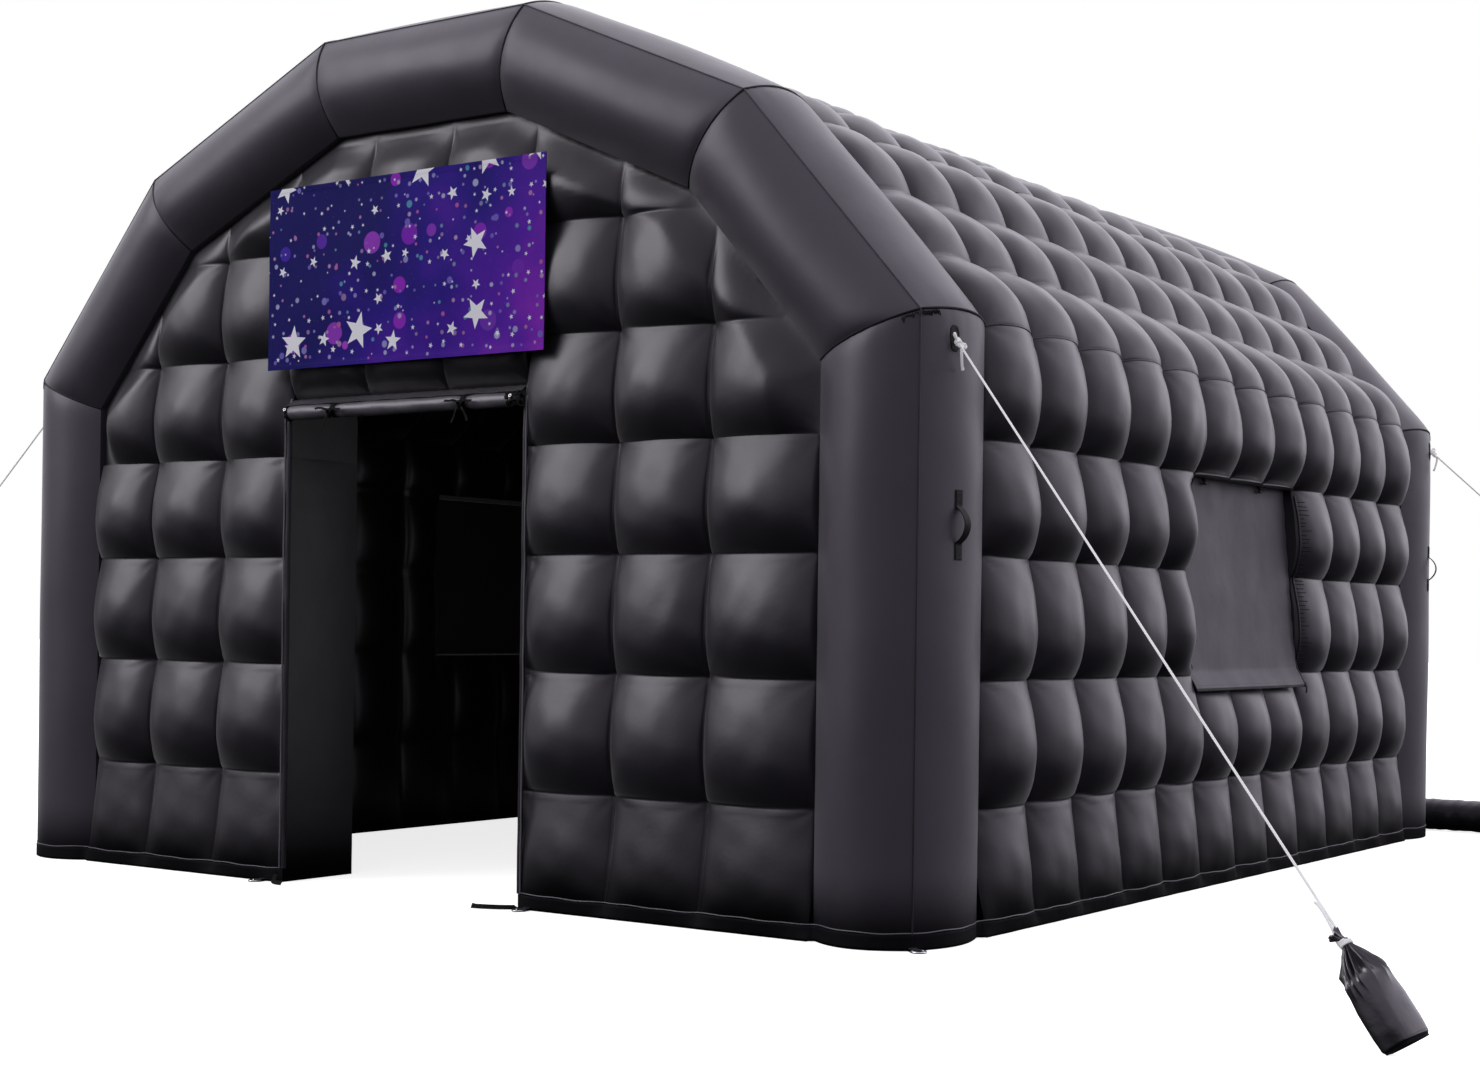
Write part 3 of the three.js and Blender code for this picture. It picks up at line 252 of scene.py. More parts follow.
def banner_material():
    """The banner's print: a night sky gradient with soft dots of glow, round confetti and scattered stars."""
    material, tree, shader = new_tree("banner_print")
    _, uv = places(tree)

    def calc(operation, *values):
        return wired(tree, operation, *values)

    def vector(operation, *values):
        return add_node(tree, "ShaderNodeVectorMath", dict(enumerate(values)), operation=operation).outputs

    def split(value):
        return add_node(tree, "ShaderNodeSeparateXYZ", {"Vector": value}).outputs

    def starred(size, apart, chance):
        """The size of a five-pointed star in each direction."""
        turn = calc("ARCTAN2", split(apart)["X"], split(apart)["Y"])
        turn = calc("ADD", turn, calc("MULTIPLY", chance["Z"], 1.2))
        folded = calc("PINGPONG", turn, math.pi / 5)
        hollow = calc("MULTIPLY", calc("SINE", calc("SUBTRACT", math.pi / 5, folded)), STAR_HOLLOW)
        edge = calc("ADD", hollow, calc("SINE", folded))
        return calc("MULTIPLY", size, calc("DIVIDE", STAR_HOLLOW * math.sin(math.pi / 5), edge))

    def scattered(under, scale, radius, spread, colours, stray):
        """Spots laid over a colour. A list of colours gives round dots, a single colour gives stars."""
        star = isinstance(colours, tuple)
        inputs = {"Vector": uv, "Scale": scale, "Randomness": stray}
        cells = add_node(tree, "ShaderNodeTexVoronoi", inputs, voronoi_dimensions="2D").outputs
        chance = split(cells["Color"])
        apart = vector("SUBTRACT", uv, cells["Position"])[0]
        size = calc("ADD", radius, calc("MULTIPLY", chance["X"], spread))
        size = calc("MULTIPLY", size, calc("GREATER_THAN", chance["Y"], 0.32))
        if star:
            size = starred(size, apart, chance)
        soft = 0.0012 if star else 0.002
        inside = calc("SUBTRACT", size, vector("LENGTH", apart)["Value"])
        mix = add_node(tree, "ShaderNodeMix", data_type="RGBA")
        feed(tree, mix, {
            "Factor": mapped(tree, inside, -soft, soft, 0.0, 1.0), "A": under,
            "B": (*colours, 1) if star else ramp(tree, chance["Z"], colours),
        })
        return mix.outputs["Result"]

    lean = calc("ADD", calc("MULTIPLY", split(uv)["X"], 0.42), calc("MULTIPLY", split(uv)["Y"], -0.35))
    drift = calc("MULTIPLY", calc("SUBTRACT", noise(tree, uv, 2.2, 4.0, 0.5), 0.5), 0.9)
    layers = ramp(tree, calc("ADD", lean, drift), NIGHT)
    for layer in BANNER_LAYERS:
        layers = scattered(layers, *layer)
    woven = calc("MULTIPLY", waves(tree, uv, "X", 60.0), waves(tree, uv, "Y", 60.0))
    soft = bump(tree, noise(tree, uv, 5.0, 3.0), 0.3, 0.008)
    feed(tree, shader, {
        "Base Color": layers, "Roughness": 0.62, "Normal": bump(tree, woven, 0.08, 0.0003, soft),
        "Specular IOR Level": 0.12, "Specular Tint": (0.7, 0.6, 1.0, 1),
    })
    return material


# tent_cloth and arch_cloth are painted darker near the ground: painted shade at the foot.
tent_cloth = cloth("tent_cloth", (0.0068, 0.0058, 0.0088), (0.0108, 0.0092, 0.0136), 0.42, coat=0.62,
                   sheen=0.4, gloss=0.46, painted_shade_height=0.34)
arch_cloth = cloth("arch_cloth", (0.036, 0.032, 0.043), (0.047, 0.042, 0.055), 0.52, crumple=0.12, coat=0.32,
                   sheen=0.5, gloss=0.6, painted_shade_height=0.3)
# The rolled flap's cloth is painted much lighter than the tent's: a painted highlight along the roll.
roll_cloth = cloth("roll_cloth", (0.075, 0.071, 0.082), (0.12, 0.114, 0.13), 0.42, crumple=0.5, coat=0.4)
cover_cloth = cloth("cover_cloth", (0.064, 0.059, 0.070), (0.075, 0.069, 0.081), 0.55, weave=35.0)
hem_cloth = cloth("hem_cloth", (0.0012, 0.0011, 0.0014), (0.0026, 0.0024, 0.003), 0.7, crumple=0.4, sheen=0.0,
                  gloss=0.15)
skirt_cloth = cloth("skirt_cloth", (0.0035, 0.0033, 0.004), (0.006, 0.0057, 0.0068), 0.6, crumple=0.3,
                    gloss=0.3)
piping_cloth = cloth("piping_cloth", (0.090, 0.086, 0.098), (0.14, 0.135, 0.15), 0.45, crumple=0.1)
trim_cloth = cloth("trim_cloth", (0.0055, 0.005, 0.0065), (0.010, 0.0095, 0.0115), 0.4, crumple=0.15)
sack_cloth = cloth("sack_cloth", (0.0045, 0.0042, 0.005), (0.012, 0.011, 0.013), 0.27, crumple=0.3, coat=0.8,
                   sheen=0.35, gloss=1.0)
duct_cloth = cloth("duct_cloth", (0.010, 0.0095, 0.0115), (0.018, 0.017, 0.02), 0.45, crumple=0.5, coat=0.2)
strip_cloth = cloth("strip_cloth", (0.040, 0.038, 0.044), (0.058, 0.056, 0.064), 0.4, crumple=0.35, coat=0.2)
webbing_cloth = webbing_material("webbing_cloth", (0.003, 0.003, 0.0035), (0.013, 0.0125, 0.014))
tie_webbing = webbing_material("tie_webbing", (0.0015, 0.0015, 0.0017), (0.0045, 0.0043, 0.005), gloss=0.12)
rope_fibre = fibre_material("rope_fibre", (0.80, 0.795, 0.79), (0.97, 0.965, 0.96))
thread = thread_material("thread", (0.05, 0.05, 0.054), (0.12, 0.12, 0.13))
banner_thread = thread_material("banner_thread", (0.03, 0.035, 0.09), (0.07, 0.07, 0.15))
ring_metal = grained_material(
    "ring_metal", (0.80, 0.80, 0.81), (0.94, 0.94, 0.95), drift_scale=45.0, drift_detail=4.0,
    rough=(0.16, 0.42), grain=(900.0, 60.0, 900.0), grain_bump=(0.12, 0.0003), metallic=1.0,
)
toggle_plastic = grained_material(
    "toggle_plastic", (0.008, 0.008, 0.009), (0.016, 0.016, 0.018), drift_scale=90.0, drift_detail=3.0,
    rough=(0.22, 0.4), grain=(900.0, 900.0, 900.0), grain_bump=(0.15, 0.0002),
)

STAR_HOLLOW = 0.42
NIGHT = [(0.0, (0.006, 0.005, 0.120)), (0.25, (0.022, 0.006, 0.240)), (0.5, (0.090, 0.010, 0.380)),
         (0.75, (0.260, 0.020, 0.480))]
CONFETTI = [(0.0, (0.05, 0.30, 0.42)), (0.35, (0.45, 0.10, 0.34)), (0.65, (0.40, 0.42, 0.62)),
            (0.9, (0.16, 0.12, 0.50))]
GLOW = [(0.0, (0.10, 0.010, 0.42)), (0.4, (0.30, 0.020, 0.52)), (0.7, (0.05, 0.02, 0.38)),
        (0.9, (0.38, 0.05, 0.56))]
# Each layer of the print: its scale, smallest radius, spread of radius, colours and how far it strays.
BANNER_LAYERS = (
    (4.4, 0.014, 0.034, GLOW, 0.8), (15.0, 0.004, 0.006, CONFETTI, 0.8), (8.0, 0.006, 0.010, CONFETTI, 0.8),
    (5.2, 0.014, 0.020, (0.85, 0.85, 0.92), 0.8), (11.0, 0.005, 0.008, (0.75, 0.75, 0.88), 0.8),
    (2.7, 0.042, 0.042, (0.88, 0.88, 0.94), 0.5),
)


banner_print = banner_material()


# Mesh building. A piece is made of smooth grids of points, each facing the way it is told.

def unit(vector):
    return vector / np.linalg.norm(vector)


class Patches:
    def __init__(self):
        self.points, self.faces, self.uvs, self.slots, self.count = [], [], [], [], 0

    def grid(self, points, want, uv=None, keep=None, slot=0):
        """Quads over points (n, m, 3). want is a rough outward direction, or None to keep the order."""
        n, m = points.shape[:2]
        ids = self.count + np.arange(n * m).reshape(n, m)
        quads = np.stack([ids[:-1, :-1], ids[1:, :-1], ids[1:, 1:], ids[:-1, 1:]], -1).reshape(-1, 4)
        if keep is not None:
            quads = quads[keep.reshape(-1)]
        flat = points.reshape(-1, 3)
        if want is not None:
            local = quads - self.count
            across = flat[local[:, 2]] - flat[local[:, 0]]
            along = flat[local[:, 3]] - flat[local[:, 1]]
            if float((np.cross(across, along) @ np.asarray(want, float)).sum()) < 0:
                quads = quads[:, ::-1]
        self.points.append(flat)
        self.faces.extend(quads.tolist())
        self.slots.extend([slot] * len(quads))
        if uv is None:
            steps_u = np.linalg.norm(np.diff(points, axis=0), axis=2).mean(1)
            steps_v = np.linalg.norm(np.diff(points, axis=1), axis=2).mean(0)
            laid = [np.concatenate([[0], np.cumsum(steps)]) for steps in (steps_u, steps_v)]
            uv = np.stack(np.meshgrid(*laid, indexing="ij"), -1)
        self.uvs.append(uv.reshape(-1, 2))
        self.count += n * m

    def fan(self, ring, slot=0, flip=False):
        """Closes a ring of points with one flat face."""
        ids = list(range(self.count, self.count + len(ring)))
        self.points.append(np.asarray(ring))
        self.uvs.append(np.asarray(ring)[:, :2])
        self.faces.append(ids[::-1] if flip else ids)
        self.slots.append(slot)
        self.count += len(ring)

    def build(self, name, *materials):
        mesh = bpy.data.meshes.new(name)
        mesh.from_pydata(np.concatenate(self.points).tolist(), [], self.faces)
        mesh.polygons.foreach_set("use_smooth", [True] * len(mesh.polygons))
        mesh.polygons.foreach_set("material_index", self.slots)
        loops = np.empty(len(mesh.loops), dtype=np.int32)
        mesh.loops.foreach_get("vertex_index", loops)
        layer = mesh.uv_layers.new(name="metres")
        layer.data.foreach_set("uv", np.concatenate(self.uvs)[loops].reshape(-1))
        for material in materials:
            mesh.materials.append(material)
        mesh.update()
        piece = bpy.data.objects.new(name, mesh)
        bpy.context.collection.objects.link(piece)
        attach(piece, "root")
        return piece


FIRST_ROW, LAST_ROW, FIRST_COLUMN, LAST_COLUMN = 0, -1, (slice(None), 0), (slice(None), -1)


def sheet_edges(patches, face, rear, ways, uv=None):
    """Closes a sheet's edges. ways holds the edges' places in the grid, each with the way that it faces."""
    for edge, way in ways:
        uvs = None if uv is None else np.stack([uv[edge], uv[edge]], 1)
        patches.grid(np.stack([face[edge], rear[edge]], 1), way, uvs)


# The outline of the arches and its mitres.

def span_ways(index):
    """The way along a span of the outline, and the way out of it."""
    along = unit(OUTLINE[index + 1] - OUTLINE[index])
    return along, np.array([along[1], -along[0]])


def mitre_pull(index):
    """How far a joint's seam moves along the next span when the outline grows by one unit."""
    if index == 0:
        return span_ways(0)[1]
    before = span_ways(index - 1)[1]
    if index == len(OUTLINE) - 1:
        return before
    after = span_ways(index)[1]
    return (before + after) / (1 + before @ after)


def span_length(index):
    return np.linalg.norm(OUTLINE[index + 1] - OUTLINE[index])


MITRES = np.array([mitre_pull(k) for k in range(len(OUTLINE))])
ROOF_LINE = OUTLINE - MITRES * np.where(OUTLINE[:, 1:] > EAVE_Z, ROOF_SINK, 0)
ARCH_INSIDE = OUTLINE - MITRES * (TUBE_WIDE + GAP)


# The tubes of the arches: where their surfaces lie.

def bulge(t):
    return 1 - (2 * t - 1) ** 2


def tube_frame(index, s):
    """A place along a span, the way along it, the way out of it and how far the mitre leans it, in XZ."""
    along, normal = span_ways(index)
    inset_low = 0 if OUTLINE[index][1] == 0 else GAP / 2
    inset_high = 0 if OUTLINE[index + 1][1] == 0 else GAP / 2
    place = OUTLINE[index] + along * (inset_low + (span_length(index) - inset_low - inset_high) * s)
    lean = MITRES[index] @ along * max(0, 1 - 2 * s) + MITRES[index + 1] @ along * max(0, 2 * s - 1)
    return place, along, normal, lean


def tube_point(index, s, out, back, seam_y, inward):
    """Points of a tube at the distances out of its seam and back from it, which are numbers or arrays."""
    place, along, normal, lean = tube_frame(index, s)
    out, back = np.broadcast_arrays(out, back)
    spot = place + normal * out[..., None] + along * (lean * out)[..., None]
    return np.stack([spot[..., 0], seam_y + inward * back, spot[..., 1]], -1)


def joints_of(index, s):
    """The distance to each end of a span, with the number of the joint there."""
    length = span_length(index)
    return (s * length, index), ((1 - s) * length, index + 1)


def sewn(joint):
    """True for a joint between two spans, false for a foot."""
    return 0 < joint < len(OUTLINE) - 1


def tube_swell(index, s):
    """A span is fattest in its middle and pinched a little at its sewn joints."""
    fat = 1 + 0.12 * (1 - (2 * s - 1) ** 2)
    for distance, joint in joints_of(index, s):
        if sewn(joint):
            fat -= 0.16 * math.exp(-distance / 0.03)
    return fat


def gathers(index, s, t, inward):
    """Small folds that run away from a span's sewn joints, strongest at the outer front seam."""
    chance = np.random.default_rng((61 if inward > 0 else 67) * 10 + index)
    total = 0.0
    for distance, joint in joints_of(index, s):
        phase = chance.uniform(0, 6.28, 3)
        if sewn(joint):
            ripple = np.sin(2 * np.pi * 6 * t + phase[0]) + 0.7 * np.sin(2 * np.pi * 11 * t + phase[1])
            corner = 0.5 + 1.1 * np.exp(-t * 9)
            total += 0.0023 * ripple * corner * math.exp(-distance / 0.1) * (1 - math.exp(-distance / 0.01))
        if joint == 1 or joint == len(OUTLINE) - 2:
            # Creases that cross the leg just under the eave, where the two tubes pull together.
            crease = np.sin(2 * np.pi * distance / 0.055 + 1.6 * np.sin(8 * t + phase[2]))
            crease = 0.0026 * crease * np.exp(-t * 4)
            total += crease * math.exp(-distance / 0.16) * (1 - math.exp(-distance / 0.02))
    return total * np.sin(np.pi * t) ** 0.5


def tube_heights(index, s, t, inward):
    """How far a tube's end face and its outer face stand out at shares t of their widths."""
    swell = tube_swell(index, s)
    ripple = gathers(index, s, t, inward)
    soft = 0.0022 * np.sin(2.1 * s * span_length(index) * 3 + 5 * t + index) * np.sin(np.pi * t)
    return FACE_BULGE * bulge(t) * swell + ripple + soft, SIDE_BULGE * bulge(t) * swell + ripple + soft


# Lines, straps, cords and stitches.

def distances(line):
    """How far along a line each of its points lies."""
    return np.concatenate([[0], np.cumsum(np.linalg.norm(np.diff(line, axis=0), axis=1))])


def spaced(line, spacing):
    """The same line with points at even distances."""
    line = np.asarray(line, float)
    at = distances(line)
    want = np.linspace(0, at[-1], max(2, int(round(at[-1] / spacing)) + 1))
    return np.stack([np.interp(want, at, line[:, k]) for k in range(3)], -1)


def smooth_line(points, spacing):
    """An evenly spaced smooth line through the points."""
    points = np.asarray(points, float)
    ends = np.concatenate([[2 * points[0] - points[1]], points, [2 * points[-1] - points[-2]]])
    t = np.linspace(0, 1, 24, endpoint=False)[:, None]
    parts = []
    for a, b, c, d in zip(ends[:-3], ends[1:-2], ends[2:-1], ends[3:]):
        square = (2 * a - 5 * b + 4 * c - d) * t ** 2
        parts.append(0.5 * (2 * b + (c - a) * t + square + (3 * b - a - 3 * c + d) * t ** 3))
    return spaced(np.concatenate([*parts, points[-1:]]), spacing)


def points_at(x, y, z):
    """Points with the given coordinates. Each is an array, or one number for all the points."""
    return np.stack(np.broadcast_arrays(x, y, z), -1)


def frames_along(line, up, closed=False):
    """Side, up and forward directions along a line. up is one direction, or one for each point."""
    tangents = np.roll(line, -1, 0) - np.roll(line, 1, 0) if closed else np.gradient(line, axis=0)
    tangents = tangents / np.linalg.norm(tangents, axis=1)[:, None]
    up = np.asarray(up, float)
    if up.ndim == 2:
        sides = np.cross(tangents, up)
        sides /= np.linalg.norm(sides, axis=1)[:, None]
        return sides, np.cross(sides, tangents), tangents
    side = np.cross(tangents[0], up)
    if np.linalg.norm(side) < 1e-3:
        side = np.cross(tangents[0], (0.3, 1, 0.2))
    sides = []
    for tangent in tangents:
        side = unit(side - tangent * (side @ tangent))
        sides.append(side)
    sides = np.array(sides)
    return sides, np.cross(sides, tangents), tangents


def tube_grid(patches, rings, centres, slot=0, caps=True):
    """Faces over closed rings (n, m, 3) that face away from the centres (n, 3)."""
    around = np.concatenate([rings, rings[:, :1]], 1)
    across = around[1:, 1:] - around[:-1, :-1]
    along = around[:-1, 1:] - around[1:, :-1]
    middles = (around[1:, 1:] + around[:-1, :-1]) / 2 - centres[:-1, None]
    flip = float((np.cross(across, along) * middles).sum()) < 0
    patches.grid(around[:, ::-1] if flip else around, None, slot=slot)
    if caps:
        for end, inside in ((0, 1), (-1, -2)):
            turn = np.cross(rings[end], np.roll(rings[end], -1, 0)).sum(0)
            patches.fan(rings[end], slot, flip=float(turn @ (centres[end] - centres[inside])) < 0)


def rings_along(line, section, up, closed=False):
    """The rings of a section, (m, 2) or (n, m, 2) offsets aside and up, at each point of a line."""
    sides, ups, _ = frames_along(line, up, closed)
    return line[:, None] + sides[:, None] * section[..., :1] + ups[:, None] * section[..., 1:]


def sweep(patches, line, section, up=(0, 0, 1), slot=0):
    """Carries a section along a line."""
    tube_grid(patches, rings_along(line, section, up), line, slot)


def sweep_loop(patches, line, section, up=(0, 0, 1), slot=0):
    """Carries a section round a closed line, whose first point isn't given again at its end."""
    again = np.append(np.arange(len(line)), 0)
    tube_grid(patches, rings_along(line, section, up, closed=True)[again], line[again], slot, caps=False)


def turned(count):
    """Angles of a whole turn in equal steps."""
    return np.arange(count) / count * 2 * np.pi


def round_section(radius, sides=10):
    turn = turned(sides)
    return np.stack([np.cos(turn), np.sin(turn)], -1) * radius


def strap_section(width, thick):
    """A flat strap with rounded edges."""
    half, r = width / 2 - thick / 2, thick / 2
    turn = np.linspace(-np.pi / 2, np.pi / 2, 5)
    right = np.stack([half + r * np.cos(turn), r * np.sin(turn)], -1)
    left = np.stack([-half - r * np.cos(turn), -r * np.sin(turn)], -1)
    across = np.linspace(half, -half, 5)[1:-1]
    top = np.stack([across, np.full(3, r)], -1)
    return np.concatenate([right, top, left, -top])


def rope_section(line, radius, pitch=0.034):
    """The section of a three-strand laid rope along a line."""
    turn = turned(12)
    phase = turn[None, :] - 2 * np.pi * distances(line)[:, None] / pitch
    r = radius * (0.76 + 0.24 * np.abs(np.cos(1.5 * phase)) ** 0.8)
    return np.stack([r * np.cos(turn), r * np.sin(turn)], -1)


# Kinds of stitch: from the start of one to the start of the next, its length, and the thread's radius.
PATCH_STITCH, PATCH_RING_STITCH = (0.0085, 0.0085 * 0.6, 0.0009), (0.0085, 0.005, 0.001)
SACK_STITCH, HEM_STITCH = (0.007, 0.0045, 0.0009), (0.011, 0.0065, 0.0008)
FLAP_STITCH, WINDOW_STITCH = (0.009, 0.0055, 0.0007), (0.013, 0.008, 0.0012)
BOX_STITCH, TAB_STITCH = (0.006, 0.0042, 0.0009), (0.004, 0.003, 0.0007)
STRAP_STITCH = (0.007, 0.0045, 0.0006)


def stitch_row(patches, line, lift, stitch, slot=0):
    """A row of thread stitches of one kind along a line. lift is the way that they stand up."""
    pitch, length, radius = stitch
    line = spaced(line, pitch)
    sides, ups, tangents = frames_along(line, lift)
    for point, side, out, along in zip(line, sides, ups, tangents):
        ring = [point + out * radius, point + side * radius, point - out * radius, point - side * radius]
        start = patches.count
        patches.points.append(np.array([point - along * length / 2, *ring, point + along * length / 2]))
        patches.uvs.append(np.zeros((6, 2)))
        for k in range(4):
            a, b = start + 1 + k, start + 1 + (k + 1) % 4
            patches.faces.extend([[start, b, a], [start + 5, a, b]])
            patches.slots.extend([slot, slot])
        patches.count += 6


# The guy ropes, which are the cords that run free, with their patches, knots, eyes and sandbag.

LEGS = {
    "front_right": (1, FRONT_Y, 1), "front_left": (-1, FRONT_Y, 1),
    "back_right": (1, BACK_Y, -1), "back_left": (-1, BACK_Y, -1),
}
PATCH_DEPTH, PATCH_Z, PATCH_WIDE, PATCH_TALL, PATCH_THICK = 0.155, 2.255, 0.052, 0.1, 0.003
PATCH_SQUARENESS = 2.6
# A patch's rings from its edge to its middle: the share of its size, and how far it stands proud of the leg.
PATCH_LEVELS = [
    (1.0, 0.0002), (1.012, PATCH_THICK * 0.5), (0.985, PATCH_THICK * 0.92), (0.95, PATCH_THICK),
    (0.8, PATCH_THICK), (0.76, PATCH_THICK - 0.0004), (0.5, PATCH_THICK), (0.2, PATCH_THICK),
    (0.001, PATCH_THICK),
]
ROPE = 0.0045
BAG_NECK = np.array([4.374, FRONT_Y - 0.771, 0.304])
BAG_FOOT = np.array([4.568, FRONT_Y - 0.790, 0.030])
LEFT_ROPE_END = np.array([-3.023, FRONT_Y + 0.064, 1.758])
BACK_ROPE_END = np.array([2.878, BACK_Y - 0.011, 1.934])
EYE_WIDE, EYE_DEEP = 0.034, 0.06


def leg_heights(corner, z, t):
    """How far a leg's end face and outer face stand out at a height, at shares t of their widths."""
    side, _, inward = LEGS[corner]
    index, s = (0, z / EAVE_Z) if side > 0 else (6, 1 - z / EAVE_Z)
    return tube_heights(index, s, t, inward)


def on_leg(corner, depth, z, proud=0.0):
    """A point on the outer face of a leg's tube."""
    side, seam_y, inward = LEGS[corner]
    _, out = leg_heights(corner, z, np.array([depth / TUBE_DEEP]))
    return np.array([side * (HALF_WIDTH + out[0] + proud), seam_y + inward * depth, z])


def leg_outward(corner, depth, z):
    """The direction that a leg's outer face looks in."""
    along = on_leg(corner, depth + 0.02, z) - on_leg(corner, depth - 0.02, z)
    up = on_leg(corner, depth, z + 0.02) - on_leg(corner, depth, z - 0.02)
    out = unit(np.cross(along, up))
    return out * np.sign(out[0]) * LEGS[corner][0]


def squared(value, power):
    """A sine or cosine bent so that a circle turns into a square with rounded corners."""
    return np.sign(value) * np.abs(value) ** power


def rope_patch(corner):
    """A webbing patch with rounded corners that lies on a leg, with two rows of stitches round it."""
    turn = np.linspace(0, 2 * np.pi, 49)
    corners = list(zip(*[squared(way, 2 / PATCH_SQUARENESS) for way in (np.cos(turn), np.sin(turn))]))

    def at(share, proud):
        wide, tall = PATCH_WIDE / 2 * share, PATCH_TALL / 2 * share
        return np.array([
            on_leg(corner, PATCH_DEPTH + wide * c, PATCH_Z + tall * s, proud) for c, s in corners
        ])
    side, _, inward = LEGS[corner]
    rings = np.array([at(share, proud) for share, proud in PATCH_LEVELS])
    patches = Patches()
    patches.grid(rings, (side, 0, 0))
    patches.fan(rings[0][:-1], flip=side * inward < 0)
    for share in (0.87, 0.62):
        row = at(share, PATCH_THICK + 0.0002)
        stitch_row(patches, row, (side, 0, 0), PATCH_STITCH, slot=1)
    piece = patches.build(f"patch_{corner}", webbing_cloth, thread)
    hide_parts(f"rope_patch_{corner}")


def patch_rings():
    """Rings of stitches in the leg's cloth round each patch, which hold the patch's backing inside."""
    patches = Patches()
    turn = np.linspace(0, 2 * np.pi, 61)
    for corner, (side, _, _) in LEGS.items():
        for wide, tall in ((0.043, 0.056), (0.048, 0.061)):
            ring = np.array([on_leg(corner, PATCH_DEPTH + wide * c, PATCH_Z + tall * s, 0.0004)
                             for c, s in zip(np.cos(turn), np.sin(turn))])
            stitch_row(patches, ring, (side, 0, 0), PATCH_RING_STITCH)
    piece = patches.build("patch_rings", thread)


def wound(line, start, turns, radius, pitch, phase):
    """Turns of a rope wound round a line, from a distance along it."""
    step, steps_round = 0.002, 18
    fine = spaced(line, step)
    sides, ups, _ = frames_along(fine, (0.2, 0.3, 1))
    places = start + np.linspace(0, turns * pitch, int(turns * steps_round) + 1)
    spots = []
    for k, place in enumerate(np.clip(places / step, 0, len(fine) - 1)):
        low = int(place)
        share = place - low
        centre = fine[low] * (1 - share) + fine[min(low + 1, len(fine) - 1)] * share
        angle = phase + 2 * np.pi * k / steps_round
        spots.append(centre + radius * (sides[low] * np.cos(angle) + ups[low] * np.sin(angle)))
    return np.array(spots)


def patch_knot(corner, line):
    """A stopper knot on the rope where it leaves its patch: a small bight, tight turns and a short tail."""
    out = leg_outward(corner, PATCH_DEPTH, PATCH_Z)
    inward = LEGS[corner][2]

    def beside(start, steps):
        return start + np.array([out * along + np.array([0, inward * back, up]) for along, back, up in steps])
    turns = wound(line, start=0.012, turns=2.6, radius=0.0092, pitch=0.0098, phase=0.6)
    bight = beside(line[0], (
        (0.006, -0.004, 0.0), (0.010, -0.022, 0.014), (0.014, -0.030, 0.006), (0.016, -0.014, -0.008),
    ))
    # A second bight stands out at the other side, and the tail hangs below it.
    tail = beside(turns[-1], (
        (0.0, 0.0, 0.0), (0.006, 0.012, 0.009), (0.009, 0.029, 0.010), (0.012, 0.034, 0.002),
        (0.013, 0.024, -0.005), (0.015, 0.006, -0.003), (0.015, -0.004, -0.016), (0.013, 0.001, -0.040),
        (0.009, 0.010, -0.066), (0.006, 0.020, -0.086),
    ))
    whole = smooth_line(np.concatenate([bight, turns[2:-1], tail]), 0.003)
    patches = Patches()
    sweep(patches, whole, rope_section(whole, ROPE * 1.25, pitch=0.036))
    whipping = spaced(whole[-1] + np.array([(0, 0, 0.009), (0, 0, -0.001)]), 0.002)
    sweep(patches, whipping, round_section(ROPE * 1.38))
    piece = patches.build(f"knot_{corner}", rope_fibre)
    return piece


def eye_knot(line, aim, corner):
    """The eye at a rope's free end: a loop, the turns that close it and a short tail."""
    end = line[-1]
    across = unit(np.array([-aim[1], aim[0], 0]))
    through = np.cross(aim, across)
    loop = []
    for k in range(1, 18):
        turn = 2 * np.pi * k / 18
        ahead = ROPE + EYE_DEEP / 2 * (1 - math.cos(turn))
        narrow = 0.62 + 0.38 * (1 - math.cos(turn)) / 2
        loop.append(end + aim * ahead + across * (EYE_WIDE / 2 * narrow * math.sin(turn)))
    turns = wound(line[::-1], start=0.004, turns=2.8, radius=0.0092, pitch=0.0102, phase=1.2)
    tail = [turns[-1] - aim * back + through * aside - (0, 0, drop)
            for back, aside, drop in ((0.012, 0.003, 0), (0.03, 0.004, 0.004), (0.046, 0.003, 0.012))]
    whole = smooth_line(np.concatenate([[end - aim * 0.002], loop, turns, tail]), 0.003)
    patches = Patches()
    sweep(patches, whole, rope_section(whole, ROPE * 0.97, pitch=0.03))
    piece = patches.build(f"eye_{corner}", rope_fibre)
    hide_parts(f"rope_eye_{corner}")
    return piece


def guy_rope(corner, target):
    """A taut rope from its patch to its far point. Returns the rope, its line and the way it runs."""
    start = on_leg(corner, PATCH_DEPTH, PATCH_Z, PATCH_THICK + 0.0012)
    line = spaced(np.array([start, target]), 0.0035)
    patches = Patches()
    sweep(patches, line, rope_section(line, ROPE))
    piece = patches.build(f"rope_{corner}", rope_fibre)
    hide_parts(f"guy_rope_{corner}")
    return piece, line, unit(target - start)


def declare_rope(line, with_pieces):
    path = line[:: max(1, len(line) // 60)].tolist()
    path[-1] = line[-1].tolist()


for corner in LEGS:
    rope_patch(corner)
patch_rings()

for corner, target in (("front_left", LEFT_ROPE_END), ("back_right", BACK_ROPE_END)):
    rope_piece, rope_line, rope_aim = guy_rope(corner, target)
    knot = patch_knot(corner, rope_line)
    eye = eye_knot(rope_line, rope_aim, corner)
    declare_rope(rope_line, [knot, eye])


# The front right rope ends in a hitch round the sandbag's neck.

# At shares of the bag's length from the neck, half its width and half its thickness in millimetres.
BAG_SECTIONS = np.array([
    [0, 13.5, 12], [0.07, 15.5, 14], [0.2, 40, 28], [0.38, 71, 44], [0.6, 80, 52], [0.84, 80, 50],
    [0.972, 77, 43], [1, 70, 25],
])
BAG_ACROSS = np.array([0.82, 0.57, 0])
BAG_AXIS = BAG_FOOT - BAG_NECK
SEAM_TURN, BAG_EDGE = -0.55, 1.78
NECK_END, MOUTH_LEAN = 0.07, np.array([-0.76, -0.5, 0.28])
